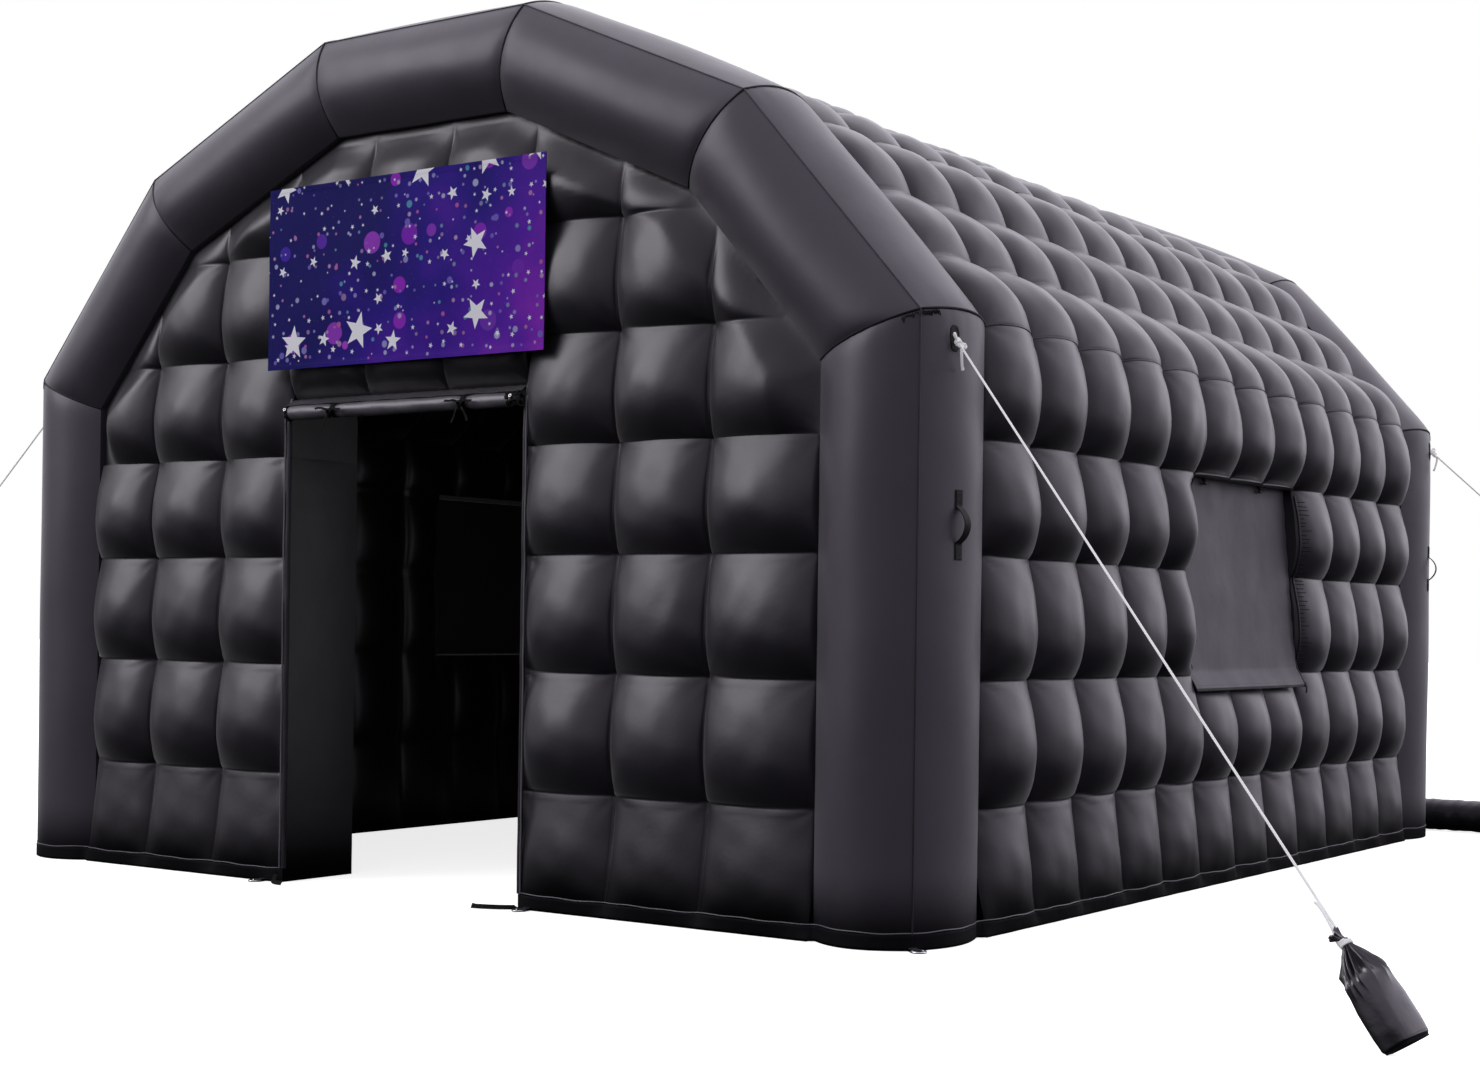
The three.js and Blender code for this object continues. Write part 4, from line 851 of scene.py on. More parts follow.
# The gathered mouth's distances from the tie, with its radius at each.
MOUTH = [(0.0, 0.0105), (0.005, 0.0095), (0.012, 0.0115), (0.020, 0.0155), (0.028, 0.0195), (0.034, 0.0215)]


def square_to(vector, along):
    """The direction of a vector once it is turned square to another one."""
    return unit(vector - along * (vector @ along))


def bag_frame(share, rope_aim):
    """The ways along, across and through the bag. At the neck it follows the rope."""
    lean = max(0.0, 1 - share / NECK_END)
    along = unit(unit(BAG_AXIS) * (1 - lean) + rope_aim * lean)
    across = square_to(BAG_ACROSS, along)
    return along, across, np.cross(along, across)


def bag_ring(share, rope_aim, count, pleats, depth=0.0):
    """Points round the sandbag at a share of its length from the neck."""
    _, across, through = bag_frame(share, rope_aim)
    wide, thick = (np.interp(share, BAG_SECTIONS[:, 0], BAG_SECTIONS[:, k]) / 1000 for k in (1, 2))
    turn = turned(count) + SEAM_TURN
    wrapped = turn % (2 * np.pi)
    edge = min(max((share - 0.3) / 0.3, 0), 1)
    power = 0.8 + 0.34 * edge * edge * (3 - 2 * edge)
    from_tie = share - 0.17
    fade = math.exp(-(from_tie / 0.15) ** 4) if from_tie > 0 else math.exp(-(from_tie / 0.12) ** 2)
    runout = math.exp(-((share - 0.2) / 0.24) ** 4)
    fold = 1 - np.abs(np.sin(6.5 * turn + 0.9 * np.sin(2 * turn + 1) + 0.8 * share)) ** 0.55 - 0.5
    small_fold = np.sin(5 * turn + 1.1 + 2 * share)
    face = np.where(wrapped < BAG_EDGE, wrapped / BAG_EDGE, (wrapped - BAG_EDGE) / (np.pi - BAG_EDGE))
    hollow = np.where(wrapped < np.pi, np.abs(np.sin(np.pi * face)) ** 1.3, 0)
    size = 1 + (0.72 * fade + 0.13 * runout) * fold + 0.07 * fade * small_fold + depth - 0.15 * edge * hollow
    slack = 0.012 * np.sin(3 * turn + 9 * share) + 0.008 * np.sin(5 * turn - 14 * share + 2)
    size = size + slack * min(1, share / 0.3) * (1 - 0.5 * share)
    if pleats:
        size = size + 0.022 * fade * np.sin(37 * turn + 5 * share)
    centre = BAG_NECK + BAG_AXIS * share
    ring = centre + across * (wide * squared(np.cos(turn), power) * size)[:, None]
    ring = ring + through * (thick * squared(np.sin(turn), power) * size)[:, None]
    ring[:, 2] = np.maximum(ring[:, 2], 0.0008)
    return ring, centre


def bag_end(patches, rope_aim):
    """The sewn end: a flat seam along the bottom with a cord in it, and stitches beside it."""
    along, _, _ = bag_frame(1.0, rope_aim)
    seam, _ = bag_ring(1.0, rope_aim, 60, False)
    seam = seam + along * 0.0015
    seam[:, 2] = np.maximum(seam[:, 2], 0.0026)
    sweep_loop(patches, seam, round_section(0.0024, 8), up=along, slot=1)
    inset, _ = bag_ring(0.955, rope_aim, 90, False, 0.008)
    inset[:, 2] = np.maximum(inset[:, 2], 0.0022)
    row = np.concatenate([inset, inset[:1]])
    stitch_row(patches, row, (0.3, -0.8, 0.4), SACK_STITCH, slot=1)


def bag_mouth(patches, rope_aim):
    """The gathered mouth above the tie, with its lining and rim."""
    turn = turned(96)
    back, across, _ = bag_frame(0.0, rope_aim)
    tip = BAG_NECK - back * 0.001
    back = unit(MOUTH_LEAN - back * 0.4)
    across = square_to(across, back)
    through = np.cross(back, across)
    ruffle = np.sin(7 * turn + 1.3 * np.sin(3 * turn)) + 0.4 * np.sin(17 * turn + 1)
    rings = []
    for ahead, radius in MOUTH:
        size = radius * (1 + 0.24 * ruffle * min(1, ahead / 0.03))
        reach = ahead * (1 + 0.12 * np.sin(4 * turn + 0.5))
        ring = tip + back * reach[:, None] + across * (size * np.cos(turn))[:, None]
        rings.append(ring + through * (size * np.sin(turn) * 0.8)[:, None])
    outer = np.array(rings)
    middles = np.array([tip + back * ahead for ahead, _ in MOUTH])
    inner = middles[:, None] + (outer - middles[:, None]) * 0.86
    tube_grid(patches, outer, middles, caps=False)
    lining = np.concatenate([inner, inner[:, :1]], 1)
    patches.grid(lining[:, ::-1], None)
    rim = np.stack([outer[-1], inner[-1]])
    patches.grid(np.concatenate([rim, rim[:, :1]], 1), back)


def sandbag(rope_aim):
    patches = Patches()
    shares = np.concatenate([
        np.linspace(0, 0.45, 46)[:-1], np.linspace(0.45, 0.93, 22)[:-1], np.linspace(0.93, 1, 9),
    ])
    rings, centres = zip(*[bag_ring(share, rope_aim, 184, True) for share in shares])
    tube_grid(patches, np.array(rings), np.array(centres))
    bag_end(patches, rope_aim)
    bag_mouth(patches, rope_aim)
    piece = patches.build("sandbag_sack", sack_cloth, skirt_cloth)
    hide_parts("sandbag")


def neck_hitch(line, aim):
    """The rope's turns round the sandbag's neck, and its end laid back along the rope."""
    _, across, through = bag_frame(0.02, aim)
    turns = []
    count = 42
    for k in range(count):
        angle = 2 * np.pi * k / 18 + 2.0
        radius = 0.0172 + 0.0007 * math.sin(3 * angle)
        centre = BAG_NECK + BAG_AXIS * (0.016 + 0.036 * k / count)
        turns.append(centre + across * radius * math.cos(angle) + through * (radius * 0.92) * math.sin(angle))
    beside = unit(np.cross(aim, (0, 0, 1)))
    start = line[-1]
    lead = [start - aim * 0.006 - beside * 0.008, start + aim * 0.004 - beside * 0.016]
    laid_back = [
        turns[-1] - aim * 0.02 + beside * 0.004, start - aim * 0.045 + beside * 0.0125 - (0, 0, 0.004),
        start - aim * 0.09 + beside * 0.0105, start - aim * 0.125 + beside * 0.0105,
        start - aim * 0.146 + beside * 0.013 - (0, 0, 0.004),
    ]
    whole = smooth_line(np.array(lead + turns + laid_back), 0.003)
    patches = Patches()
    sweep(patches, whole, rope_section(whole, ROPE * 0.97, pitch=0.03))
    piece = patches.build("hitch_front_right", rope_fibre)
    return piece


bag_rope, bag_line, bag_aim = guy_rope("front_right", BAG_NECK)
bag_knot = patch_knot("front_right", bag_line)
sandbag(bag_aim)
declare_rope(bag_line, [bag_knot, neck_hitch(bag_line, bag_aim)])


# The quilting.

def rounded(t):
    """The round section of a cell that is held at both edges, from 0 to 1 and back."""
    return np.clip(1 - (2 * t - 1) ** 2, 0, None) ** 0.62


def billowing(t):
    """The softer section up a column of cells, which meets the next one in a dip."""
    return np.sin(np.pi * np.clip(t, 0, 1))


def mellow(t):
    """A smooth hump from 0 to 1 and back."""
    return billowing(t) ** 2


def cell_of(lines, values):
    """The number of the cell that each value lies in, and its share across that cell."""
    index = np.clip(np.searchsorted(lines, values, side="left") - 1, 0, len(lines) - 2)
    return index, (values - lines[index]) / (lines[index + 1] - lines[index])


def fine_steps(steps):
    """Shares from 0 up to 1, closer together at both ends."""
    s = np.arange(steps) / steps
    return 0.3 * s + 0.7 * (1 - np.cos(np.pi * s)) / 2


def fine_lines(cells, steps):
    """Fine lines over cells, closer together beside the seams."""
    inner = [low + (high - low) * fine_steps(steps) for low, high in zip(cells[:-1], cells[1:])]
    return np.concatenate(inner + [[cells[-1]]])


def plain_saddles(u, j, low):
    return np.full(u.shape, SADDLE)


def quilt_form(columns, rows, u, v, seed, sag=0.78, foot=False, saddles=plain_saddles, beside=None):
    """Share of the crest height over a grid of cells, and the puckers round the tufts in metres.

    saddles gives the height of the dips between the rows, and beside narrows the cells beside a window.
    """
    chance = np.random.default_rng(seed)
    i, a = cell_of(columns, u)
    j, b = cell_of(rows, v)
    fullness = chance.uniform(-0.09, 0.05, (len(columns), len(rows)))
    lean = chance.uniform(0.9, 1.12, (len(columns), len(rows)))
    if beside is not None:
        a = beside(u, v, a)
    across = rounded(np.clip(a, 0, 1) ** lean[i, j])
    up_share = np.clip(b, 0, 1) ** sag
    if foot:
        up_share = np.where(j == 0, (0.5 + b / 2) ** sag, up_share)
    up = billowing(up_share)
    saddle = np.where(up_share < 0.5, saddles(u, j, True), saddles(u, j, False))
    form = across * (saddle + (1 - saddle) * up) + CREASE * (1 - across) * up
    form = form * (1 + fullness[i, j] * mellow(a) * mellow(b))
    if foot:
        ground = np.where(j == 0, (1 - b) ** 2.8, 0)
        form = (1 - ground) * form + ground * BASE_LEVEL
    # Puckers run out from each tuft.
    near_i = np.where(a < 0.5, i, i + 1)
    near_j = np.where(b < 0.5, j, j + 1)
    du = u - columns[near_i]
    dv = v - rows[near_j]
    reach = np.hypot(du, dv)
    turn = np.arctan2(dv, du)
    start = chance.uniform(0, 6.28, (len(columns) + 1, len(rows) + 1))[near_i, near_j]
    puckers = np.sin(7 * turn + start) + 0.6 * np.sin(11 * turn + 2 * start)
    puckers = 0.0034 * puckers * np.exp(-reach / 0.06) * (1 - np.exp(-reach / 0.012))
    if foot:
        puckers = np.where((j == 0) & (b < 0.5), 0, puckers)
    # A taut fold lies just over each dip, and long soft creases cross the cells.
    wave = chance.uniform(0, 6.28, 4)
    folds = 0.0013 * np.sin(23 * u + 9 * v + wave[0]) * np.sin(31 * v - 6 * u + wave[1])
    folds += 0.0010 * np.sin(47 * u + wave[2] + 2 * np.sin(9 * v + wave[3])) * mellow(b)
    tall = rows[j + 1] - rows[j]
    below_top = (1 - b) * tall - 0.012 - 0.012 * mellow(a)
    folds += 0.0024 * np.exp(-(below_top / 0.005) ** 2) * across
    return form, puckers + folds


def skin(form, extra, tuft=TUFT, crest=CREST, detail=1.0):
    """How far quilting stands out, in metres, where quilt_form gives form and extra."""
    return tuft + (crest - tuft) * form + extra * detail


def edge_rims(u_way, v_way):
    """A slab's four edges, each with the way that it faces and how far it is padded out."""
    u_way, v_way = np.array(u_way), np.array(v_way)
    return {"u0": (-u_way, 0), "u1": (u_way, 0), "v0": (-v_way, 0), "v1": (v_way, 0)}


def rim_between(patches, outer, inner, want, swell):
    """A strip that closes a slab's edge. outer and inner are lines of points, swell pads it out."""
    s = np.linspace(0, 1, 7)[None, :, None]
    strip = outer[:, None, :] * (1 - s) + inner[:, None, :] * s
    if swell:
        n = np.linspace(0, 1, len(outer))[:, None, None]
        ends = np.clip(np.minimum(n, 1 - n) * 12, 0, 1)
        strip = strip + np.asarray(want, float) * swell * np.sin(np.pi * s) ** 0.7 * ends
    patches.grid(strip, want)


def every_other(grid):
    """Every other line of a grid, and the full lines with their odd points put on the coarse edges."""
    coarse = grid[::2, ::2]
    snapped = grid.copy()
    snapped[1::2] = (snapped[:-1:2] + snapped[2::2]) / 2
    snapped[:, 1::2] = (snapped[:, :-1:2] + snapped[:, 2::2]) / 2
    return coarse, snapped


def quilt_slab(patches, u_lines, v_lines, form_at, outer_at, inner_at, outward, rims, hole=None):
    """A closed quilted slab. rims gives each edge's outward direction and padding, hole its opening."""
    u, v = np.meshgrid(u_lines, v_lines, indexing="ij")
    form, extra = form_at(u, v)
    outer = outer_at(u, v, skin(form, extra))
    inner = inner_at(u, v, skin(form, extra, INNER_TUFT, INNER_CREST, 0.6))
    coarse, snapped = every_other(inner)
    uv = np.stack([u, v], -1)
    keep = keep_coarse = None
    edges = {"u0": FIRST_ROW, "u1": LAST_ROW, "v0": FIRST_COLUMN, "v1": LAST_COLUMN}
    if hole is not None:
        i0, i1 = np.searchsorted(u_lines, np.array(hole[:2]) - 1e-6)
        j0, j1 = np.searchsorted(v_lines, np.array(hole[2:]) - 1e-6)
        keep = np.full((len(u_lines) - 1, len(v_lines) - 1), True)
        keep[i0:i1, j0:j1] = False
        keep_coarse = keep[::2, ::2]
        wall, height = slice(i0, i1 + 1), slice(j0, j1 + 1)
        edges.update(hole_u0=(i0, height), hole_u1=(i1, height), hole_v0=(wall, j0), hole_v1=(wall, j1))
    patches.grid(outer, outward, uv, keep)
    patches.grid(coarse, -np.asarray(outward), uv[::2, ::2], keep_coarse)
    for edge, (want, swell) in rims.items():
        rim_between(patches, outer[edges[edge]], snapped[edges[edge]], want, swell)


def arch_sides():
    """The start of each straight side of the arch's inside edge, and the way along it."""
    return [(start, unit(end - start)) for start, end in zip(ARCH_INSIDE[:-1], ARCH_INSIDE[1:])]


def cut_to_arch(piece):
    """Trims a wall to the inside of the arch."""
    cutter = bmesh.new()
    cutter.from_mesh(piece.data)
    for start, along in arch_sides():
        everything = cutter.verts[:] + cutter.edges[:] + cutter.faces[:]
        bmesh.ops.bisect_plane(
            cutter, geom=everything, dist=1e-6, plane_co=(start[0], 0, start[1]),
            plane_no=(along[1], 0, -along[0]), clear_outer=True,
        )
    cutter.to_mesh(piece.data)
    cutter.free()


def arch_fall(u, v):
    """From 0 at the arch's inside edge to 1 well inside it."""
    least = np.full(u.shape, 9.0)
    for start, along in arch_sides():
        least = np.minimum(least, -((u - start[0]) * along[1] - (v - start[1]) * along[0]))
    share = np.clip(least / 0.17, 0, 1)
    return share ** 0.8 * (1 - (1 - share) ** 2) ** 0.5


def finish_quilt(patches, name, node):
    piece = patches.build(name, tent_cloth)
    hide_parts(node)
    return piece


# Steps across a cell, of the panels that the photograph shows and of the others.
FINE, PLAIN = 24, 16


# Front walls, gable and back wall stand inside the arches.

LEG_INSIDE = ARCH_INSIDE[0][0]
END_RIMS, JAMB_SWELL = edge_rims((1, 0, 0), (0, 0, 1)), 0.006


def end_wall(patches, columns, rows, steps, form, seam_y, facing, rims):
    """One quilted slab of an end of the tent, in the plane of the arch's seam."""
    def outer(u, v, h):
        return points_at(u, seam_y + facing * h, v)

    def inner(u, v, h):
        return points_at(u, seam_y - facing * (PANEL_THICK + h), v)
    quilt_slab(patches, fine_lines(columns, steps), fine_lines(rows, steps), form, outer, inner,
               (0, facing, 0), rims)


def door_side_lines(side):
    low, high = (-LEG_INSIDE, DOOR_LEFT) if side == "left" else (DOOR_RIGHT, LEG_INSIDE)
    columns = np.array([low, *[c for c in FRONT_COLUMNS if low + 0.001 < c < high - 0.001], high])
    return columns, np.array([*WALL_ROWS[WALL_ROWS < PANEL_TOP], PANEL_TOP - GAP])


def bound_edge(u, v, form):
    """The quilting runs flat into the straight binding at both sides of the doorway."""
    near = np.minimum(np.abs(u - DOOR_LEFT), np.abs(u - DOOR_RIGHT))
    flat = np.exp(-(near / 0.032) ** 2) * np.clip((DOOR_TOP - v) / 0.05, 0, 1)
    return form * (1 - flat) + 0.45 * flat


def door_side_form(side, u, v):
    form, extra = quilt_form(*door_side_lines(side), u, v, seed=3 if side == "left" else 5, foot=True)
    return bound_edge(u, v, form), extra


def front_wall(side):
    jamb = "u1" if side == "left" else "u0"
    rims = {**END_RIMS, jamb: (END_RIMS[jamb][0], JAMB_SWELL)}
    patches = Patches()
    end_wall(patches, *door_side_lines(side), FINE, lambda u, v: door_side_form(side, u, v), FRONT_Y, -1,
             rims)
    finish_quilt(patches, f"quilt_front_{side}", f"front_wall_{side}")


# The gable's three parts: its columns, its rows, whether it stands over the doorway, and its seed.
GABLE_PARTS = [
    (np.array([-LEG_INSIDE, *FRONT_COLUMNS[(FRONT_COLUMNS > -2.06) & (FRONT_COLUMNS <= DOOR_LEFT)]]),
     GABLE_ROWS, False, 21),
    (FRONT_COLUMNS[(FRONT_COLUMNS >= DOOR_LEFT) & (FRONT_COLUMNS <= DOOR_RIGHT)],
     np.array([DOOR_TOP, *GABLE_ROWS[1:]]), True, 22),
    (np.array([*FRONT_COLUMNS[(FRONT_COLUMNS >= DOOR_RIGHT) & (FRONT_COLUMNS < 2.06)], LEG_INSIDE]),
     GABLE_ROWS, False, 23),
]


def lintel_saddles(u, j, low):
    return np.where((j == 0) & low, CLOSED_EDGE, SADDLE)


def gable_form(part, u, v):
    columns, rows, lintel, seed = GABLE_PARTS[part]
    shape, extra = quilt_form(columns, rows, u, v, seed, saddles=lintel_saddles if lintel else plain_saddles)
    if lintel:
        # The short cells over the doorway are drawn flat by the weight of the rolled flap.
        b = np.clip((v - rows[0]) / (rows[1] - rows[0]), 0, 1)
        flat = 0.72 * (1 - np.clip((b - 0.7) / 0.3, 0, 1) ** 2)
        seam = 1 - 0.2 * np.exp(-np.abs(u[..., None] - columns).min(-1) / 0.008)
        level = (CLOSED_EDGE + (0.74 - CLOSED_EDGE) * np.sin(np.pi / 2 * b)) * seam
        shape = shape * (1 - flat) + level * flat
    else:
        shape = bound_edge(u, v, shape)
    fall = arch_fall(u, v)
    return shape * fall, extra * fall


def front_gable():
    patches = Patches()
    for part, (columns, rows, _, _) in enumerate(GABLE_PARTS):
        end_wall(patches, columns, rows, FINE, lambda u, v: gable_form(part, u, v), FRONT_Y, -1, END_RIMS)
    cut_to_arch(finish_quilt(patches, "quilt_gable", "front_gable"))


BACK_COLUMNS = np.linspace(-LEG_INSIDE, LEG_INSIDE, 10)
BACK_ROWS = np.array([*WALL_ROWS[WALL_ROWS < PANEL_TOP], *GABLE_ROWS])


def back_form(u, v):
    shape, extra = quilt_form(BACK_COLUMNS, BACK_ROWS, u, v, seed=31, foot=True)
    fall = np.where(v > PANEL_TOP, arch_fall(u, v), 1)
    return shape * fall, extra * fall


def back_wall():
    patches = Patches()
    end_wall(patches, BACK_COLUMNS, BACK_ROWS, PLAIN, back_form, BACK_Y, 1, END_RIMS)
    cut_to_arch(finish_quilt(patches, "quilt_back", "back_wall"))


# Side walls. Their top edges follow the mitre of the eave.

BEFORE_WINDOW, EAVE_PULL = SIDE_COLUMNS[4], MITRES[1][1]


def beside_window(u, v, a):
    """The share across a cell, where the window cuts the cell before it to two thirds."""
    squeezed = (u - BEFORE_WINDOW) / (WINDOW_U0 - BEFORE_WINDOW)
    edge = np.minimum(v - WINDOW_V0, WINDOW_V1 - v)
    share = np.clip(edge / 0.07, 0, 1)
    here = (u > BEFORE_WINDOW) & (u <= WINDOW_U0 + 1e-9) & (edge > 0)
    return np.where(here, a * (1 - share) + squeezed * share, a)


def window_saddles(u, j, low):
    in_line = (u >= WINDOW_U0 - 1e-9) & (u <= WINDOW_U1 + 1e-9)
    edge = WINDOW_V1 if low else WINDOW_V0
    row_edge = WALL_ROWS[j] if low else WALL_ROWS[j + 1]
    usual = np.where(row_edge >= EAVE_Z - 1e-6, EAVE_SADDLE, SADDLE)
    return np.where(in_line & (np.abs(row_edge - edge) < 1e-6), CLOSED_EDGE, usual)


def side_form(side, u, v):
    return quilt_form(SIDE_COLUMNS, WALL_ROWS, u, v, seed=41 if side > 0 else 43, foot=True,
                      saddles=window_saddles, beside=beside_window)


def side_wall(side, steps):
    name = "right" if side > 0 else "left"

    def lifted(v, out):
        share = np.clip((v - WALL_ROWS[4]) / (EAVE_Z - WALL_ROWS[4]), 0, 1)
        return v + share * EAVE_PULL * out - np.where(share >= 1, GAP / 2, 0)

    def outer(u, v, h):
        return points_at(side * (HALF_WIDTH + h), u, lifted(v, h))

    def inner(u, v, h):
        return points_at(side * (HALF_WIDTH - PANEL_THICK - h), u, lifted(v, -PANEL_THICK - h))

    # The cell that the window's front edge splits has lines of its own on both sides of that edge.
    u_lines = np.concatenate([
        fine_lines(SIDE_COLUMNS[:5], steps)[:-1],
        BEFORE_WINDOW + (WINDOW_U0 - BEFORE_WINDOW) * fine_steps(steps),
        np.linspace(WINDOW_U0, SIDE_COLUMNS[5], steps // 3 // 2 * 2 + 1)[:-1],
        fine_lines(SIDE_COLUMNS[5:], steps),
    ])
    rims = edge_rims((0, 1, 0), (0, 0, 1))
    rims.update(hole_u0=((0, 1, 0), 0.007), hole_u1=((0, -1, 0), 0.007), hole_v0=((0, 0, 1), 0.004),
                hole_v1=((0, 0, -1), 0))
    patches = Patches()
    quilt_slab(patches, u_lines, fine_lines(WALL_ROWS, steps), lambda u, v: side_form(side, u, v),
               outer, inner, (side, 0, 0), rims, (WINDOW_U0, WINDOW_U1, WINDOW_V0, WINDOW_V1))
    finish_quilt(patches, f"quilt_side_{name}", f"side_wall_{name}")


# Roof panels, each over one stretch of the arch outline.

def roof_panel(index, steps):
    start, end = ROOF_LINE[index], ROOF_LINE[index + 1]
    length = np.linalg.norm(end - start)
    along = (end - start) / length
    normal = np.array([along[1], -along[0]])
    rows = np.linspace(0, length, 4)
    low, high = MITRES[index], MITRES[index + 1]

    def surface(first_end, last_end, sign):
        """One face of the slab: its points at heights h over the line between two ends."""
        def at(u, v, h):
            share = (v / length)[..., None]
            first = np.clip(1 - v / rows[1], 0, 1)
            last = np.clip((v - rows[2]) / (rows[3] - rows[2]), 0, 1)
            shift = first * (low @ along) + last * (high @ along)
            push = 1 + first * (low @ normal - 1) + last * (high @ normal - 1)
            nudge = GAP / 2 * (first >= 1) - GAP / 2 * (last >= 1)
            spot = first_end * (1 - share) + last_end * share + normal * (sign * h * push)[..., None]
            spot = spot + along * (sign * h * shift + nudge)[..., None]
            return points_at(spot[..., 0], u, spot[..., 1])
        return at

    def saddles(u, j, low):
        at_eave = (j == 0) & (index == 1) if low else (j == 2) & (index == 5)
        return np.where(at_eave, EAVE_SADDLE, SADDLE)

    def form(u, v):
        # The cells sag towards the eave. The rows run up the right slopes and down the left ones.
        sag = 0.85 if index < 3 else 1.0 if index == 3 else 1.18
        return quilt_form(SIDE_COLUMNS, rows, u, v, seed=50 + index, sag=sag, saddles=saddles)

    patches = Patches()
    outer = surface(start, end, 1)
    inner = surface(start - low * PANEL_THICK, end - high * PANEL_THICK, -1)
    quilt_slab(patches, fine_lines(SIDE_COLUMNS, steps), fine_lines(rows, steps), form, outer, inner,
               (normal[0], 0, normal[1]), edge_rims((0, 1, 0), (along[0], 0, along[1])))
    finish_quilt(patches, f"quilt_roof_{SPANS[index]}", f"roof_{SPANS[index]}")


front_wall("left")
front_wall("right")
front_gable()
back_wall()
side_wall(1, FINE)
side_wall(-1, PLAIN)
for span in range(1, 6):
    roof_panel(span, FINE if span <= 2 else PLAIN)


# The arches: air tubes with a bulging front and outer panel.

# Each arch's name, the plane of its seam, the way in from there, and the steps round its tubes.
ARCHES = (("front", FRONT_Y, 1, 22), ("back", BACK_Y, -1, 16))
ENDS = np.array([0, 1])


def arch_segment(index, end_name, seam_y, inward, steps_round):
    t = fine_lines(ENDS, steps_round)
    front, outside, hidden = [], [], []
    for s in fine_lines(ENDS, max(22, int(span_length(index) / 0.05))):
        face, side = tube_heights(index, s, t, inward)
        front.append(tube_point(index, s, -TUBE_WIDE * t, -face, seam_y, inward))
        outside.append(tube_point(index, s, side, TUBE_DEEP * t, seam_y, inward))
        hidden.append(tube_point(index, s, -TUBE_WIDE * np.array([1, 1, 1, 0.5, 0]),
                                 TUBE_DEEP * np.array([0, 0.5, 1, 1, 1]), seam_y, inward))
    front, outside, hidden = np.array(front), np.array(outside), np.array(hidden)
    _, normal = span_ways(index)
    patches = Patches()
    patches.grid(front, (0, -inward, 0))
    patches.grid(outside, (normal[0], 0, normal[1]))
    patches.grid(hidden[:, :3], (-normal[0], 0, -normal[1]))
    patches.grid(hidden[:, 2:], (0, inward, 0))
    for end in (0, -1):
        patches.fan([*front[end], *hidden[end][1:-1], *outside[end][::-1][:-1]], flip=end == 0)
    name = f"{end_name}_arch_{SPANS[index]}"
    piece = patches.build(f"tube_{name}", arch_cloth)
    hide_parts(name)


for span in range(7):
    for arch in ARCHES:
        arch_segment(span, *arch)


# Strips and trim that follow the quilting's surface.

def front_height(x, z):
    """How far the front walls and the gable stand out at a place, beside and above the doorway."""
    x, z = np.broadcast_arrays(np.asarray(x, float), np.asarray(z, float))
    low = z < PANEL_TOP - GAP
    left, right = x <= DOOR_LEFT + 1e-9, x >= DOOR_RIGHT - 1e-9
    height = np.zeros(x.shape)
    zones = (
        (left & low, door_side_form, "left"), (right & low, door_side_form, "right"),
        (left & ~low, gable_form, 0), (right & ~low, gable_form, 2), (~left & ~right, gable_form, 1),
    )
    for here, form, part in zones:
        if here.any():
            height[here] = skin(*form(part, x[here], z[here]))
    return height


def back_height(x, z):
    return skin(*back_form(*np.broadcast_arrays(x, z)))


def side_height(side, y, z):
    return skin(*side_form(side, *np.broadcast_arrays(y, z)))


def corner_line(corner, z, off):
    """The foot round one corner of the tent, from the end wall to the side wall."""
    side, seam_y, inward = LEGS[corner]
    t = np.linspace(1, 0, 29)
    face, outer = leg_heights(corner, z, t)
    if inward > 0:
        wall_height, side_edge = front_height, SIDE_START + 1e-4
    else:
        wall_height, side_edge = back_height, SIDE_END - 1e-4

    def over_wall(height, wall, share):
        """The leg's height, but no lower than the wall's where the two meet."""
        return np.maximum(height, wall * np.clip(1.25 - (1 - share) * 12, 0, 1)) + off
    out = over_wall(face, wall_height(np.array([side * (LEG_INSIDE - 1e-4)]), z)[0], t)
    first = np.stack([side * (HALF_WIDTH - TUBE_WIDE * t + off * (1 - t)), seam_y - inward * out], -1)
    t = np.linspace(0, 1, 29)[1:]
    out = over_wall(outer[::-1][1:], side_height(side, np.array([side_edge]), z)[0], t)
    second = np.stack([side * (HALF_WIDTH + out), seam_y + inward * TUBE_DEEP * t], -1)
    return np.concatenate([first, second])


def foot_line(z, off):
    """The tent's foot at a height, from the doorway's right edge round to its left edge, off the surface."""
    def stations(low, high):
        return np.linspace(low, high, int(abs(high - low) / 0.014) + 1)

    def end_wall_line(low, high, seam_y, facing, height):
        x = stations(low, high)
        return np.stack([x, seam_y + facing * (height(x, z) + off)], -1)

    def side_line(side, low, high):
        y = stations(low, high)
        return np.stack([side * (HALF_WIDTH + (side_height(side, y, z) + off)), y], -1)
    inside, near, far = LEG_INSIDE - 0.012, SIDE_START + 0.012, SIDE_END - 0.012
    return np.concatenate([
        end_wall_line(DOOR_RIGHT + 0.001, inside, FRONT_Y, -1, front_height),
        corner_line("front_right", z, off),
        side_line(1, near, far),
        corner_line("back_right", z, off)[::-1],
        end_wall_line(inside, -inside, BACK_Y, 1, back_height),
        corner_line("back_left", z, off),
        side_line(-1, far, near),
        corner_line("front_left", z, off)[::-1],
        end_wall_line(-inside, DOOR_LEFT - 0.001, FRONT_Y, -1, front_height),
    ])


# The skirt's section: heights, how far it stands off the tent, and how much it ripples there.
SKIRT_LEVELS = [
    (0.0022, 0.0012, 0), (0.0022, 0.0034, 0), (0.012, 0.0036, 0.3), (0.03, 0.0034, 0.6), (0.048, 0.0032, 0.2),
    (0.0575, 0.0036, 0), (0.0598, 0.0022, 0), (0.0575, 0.0006, 0), (0.03, 0.0006, 0),
]
PIPING_Z = 0.0645
# The radii of the cords in the seams, and of the doorway's binding.
SKIRT_CORD, SEAM_CORD, JOINT_CORD, EAVE_CORD = 0.0026, 0.0034, 0.0058, 0.0032
DOOR_CORD, DOOR_BINDING = 0.0042, 0.0115


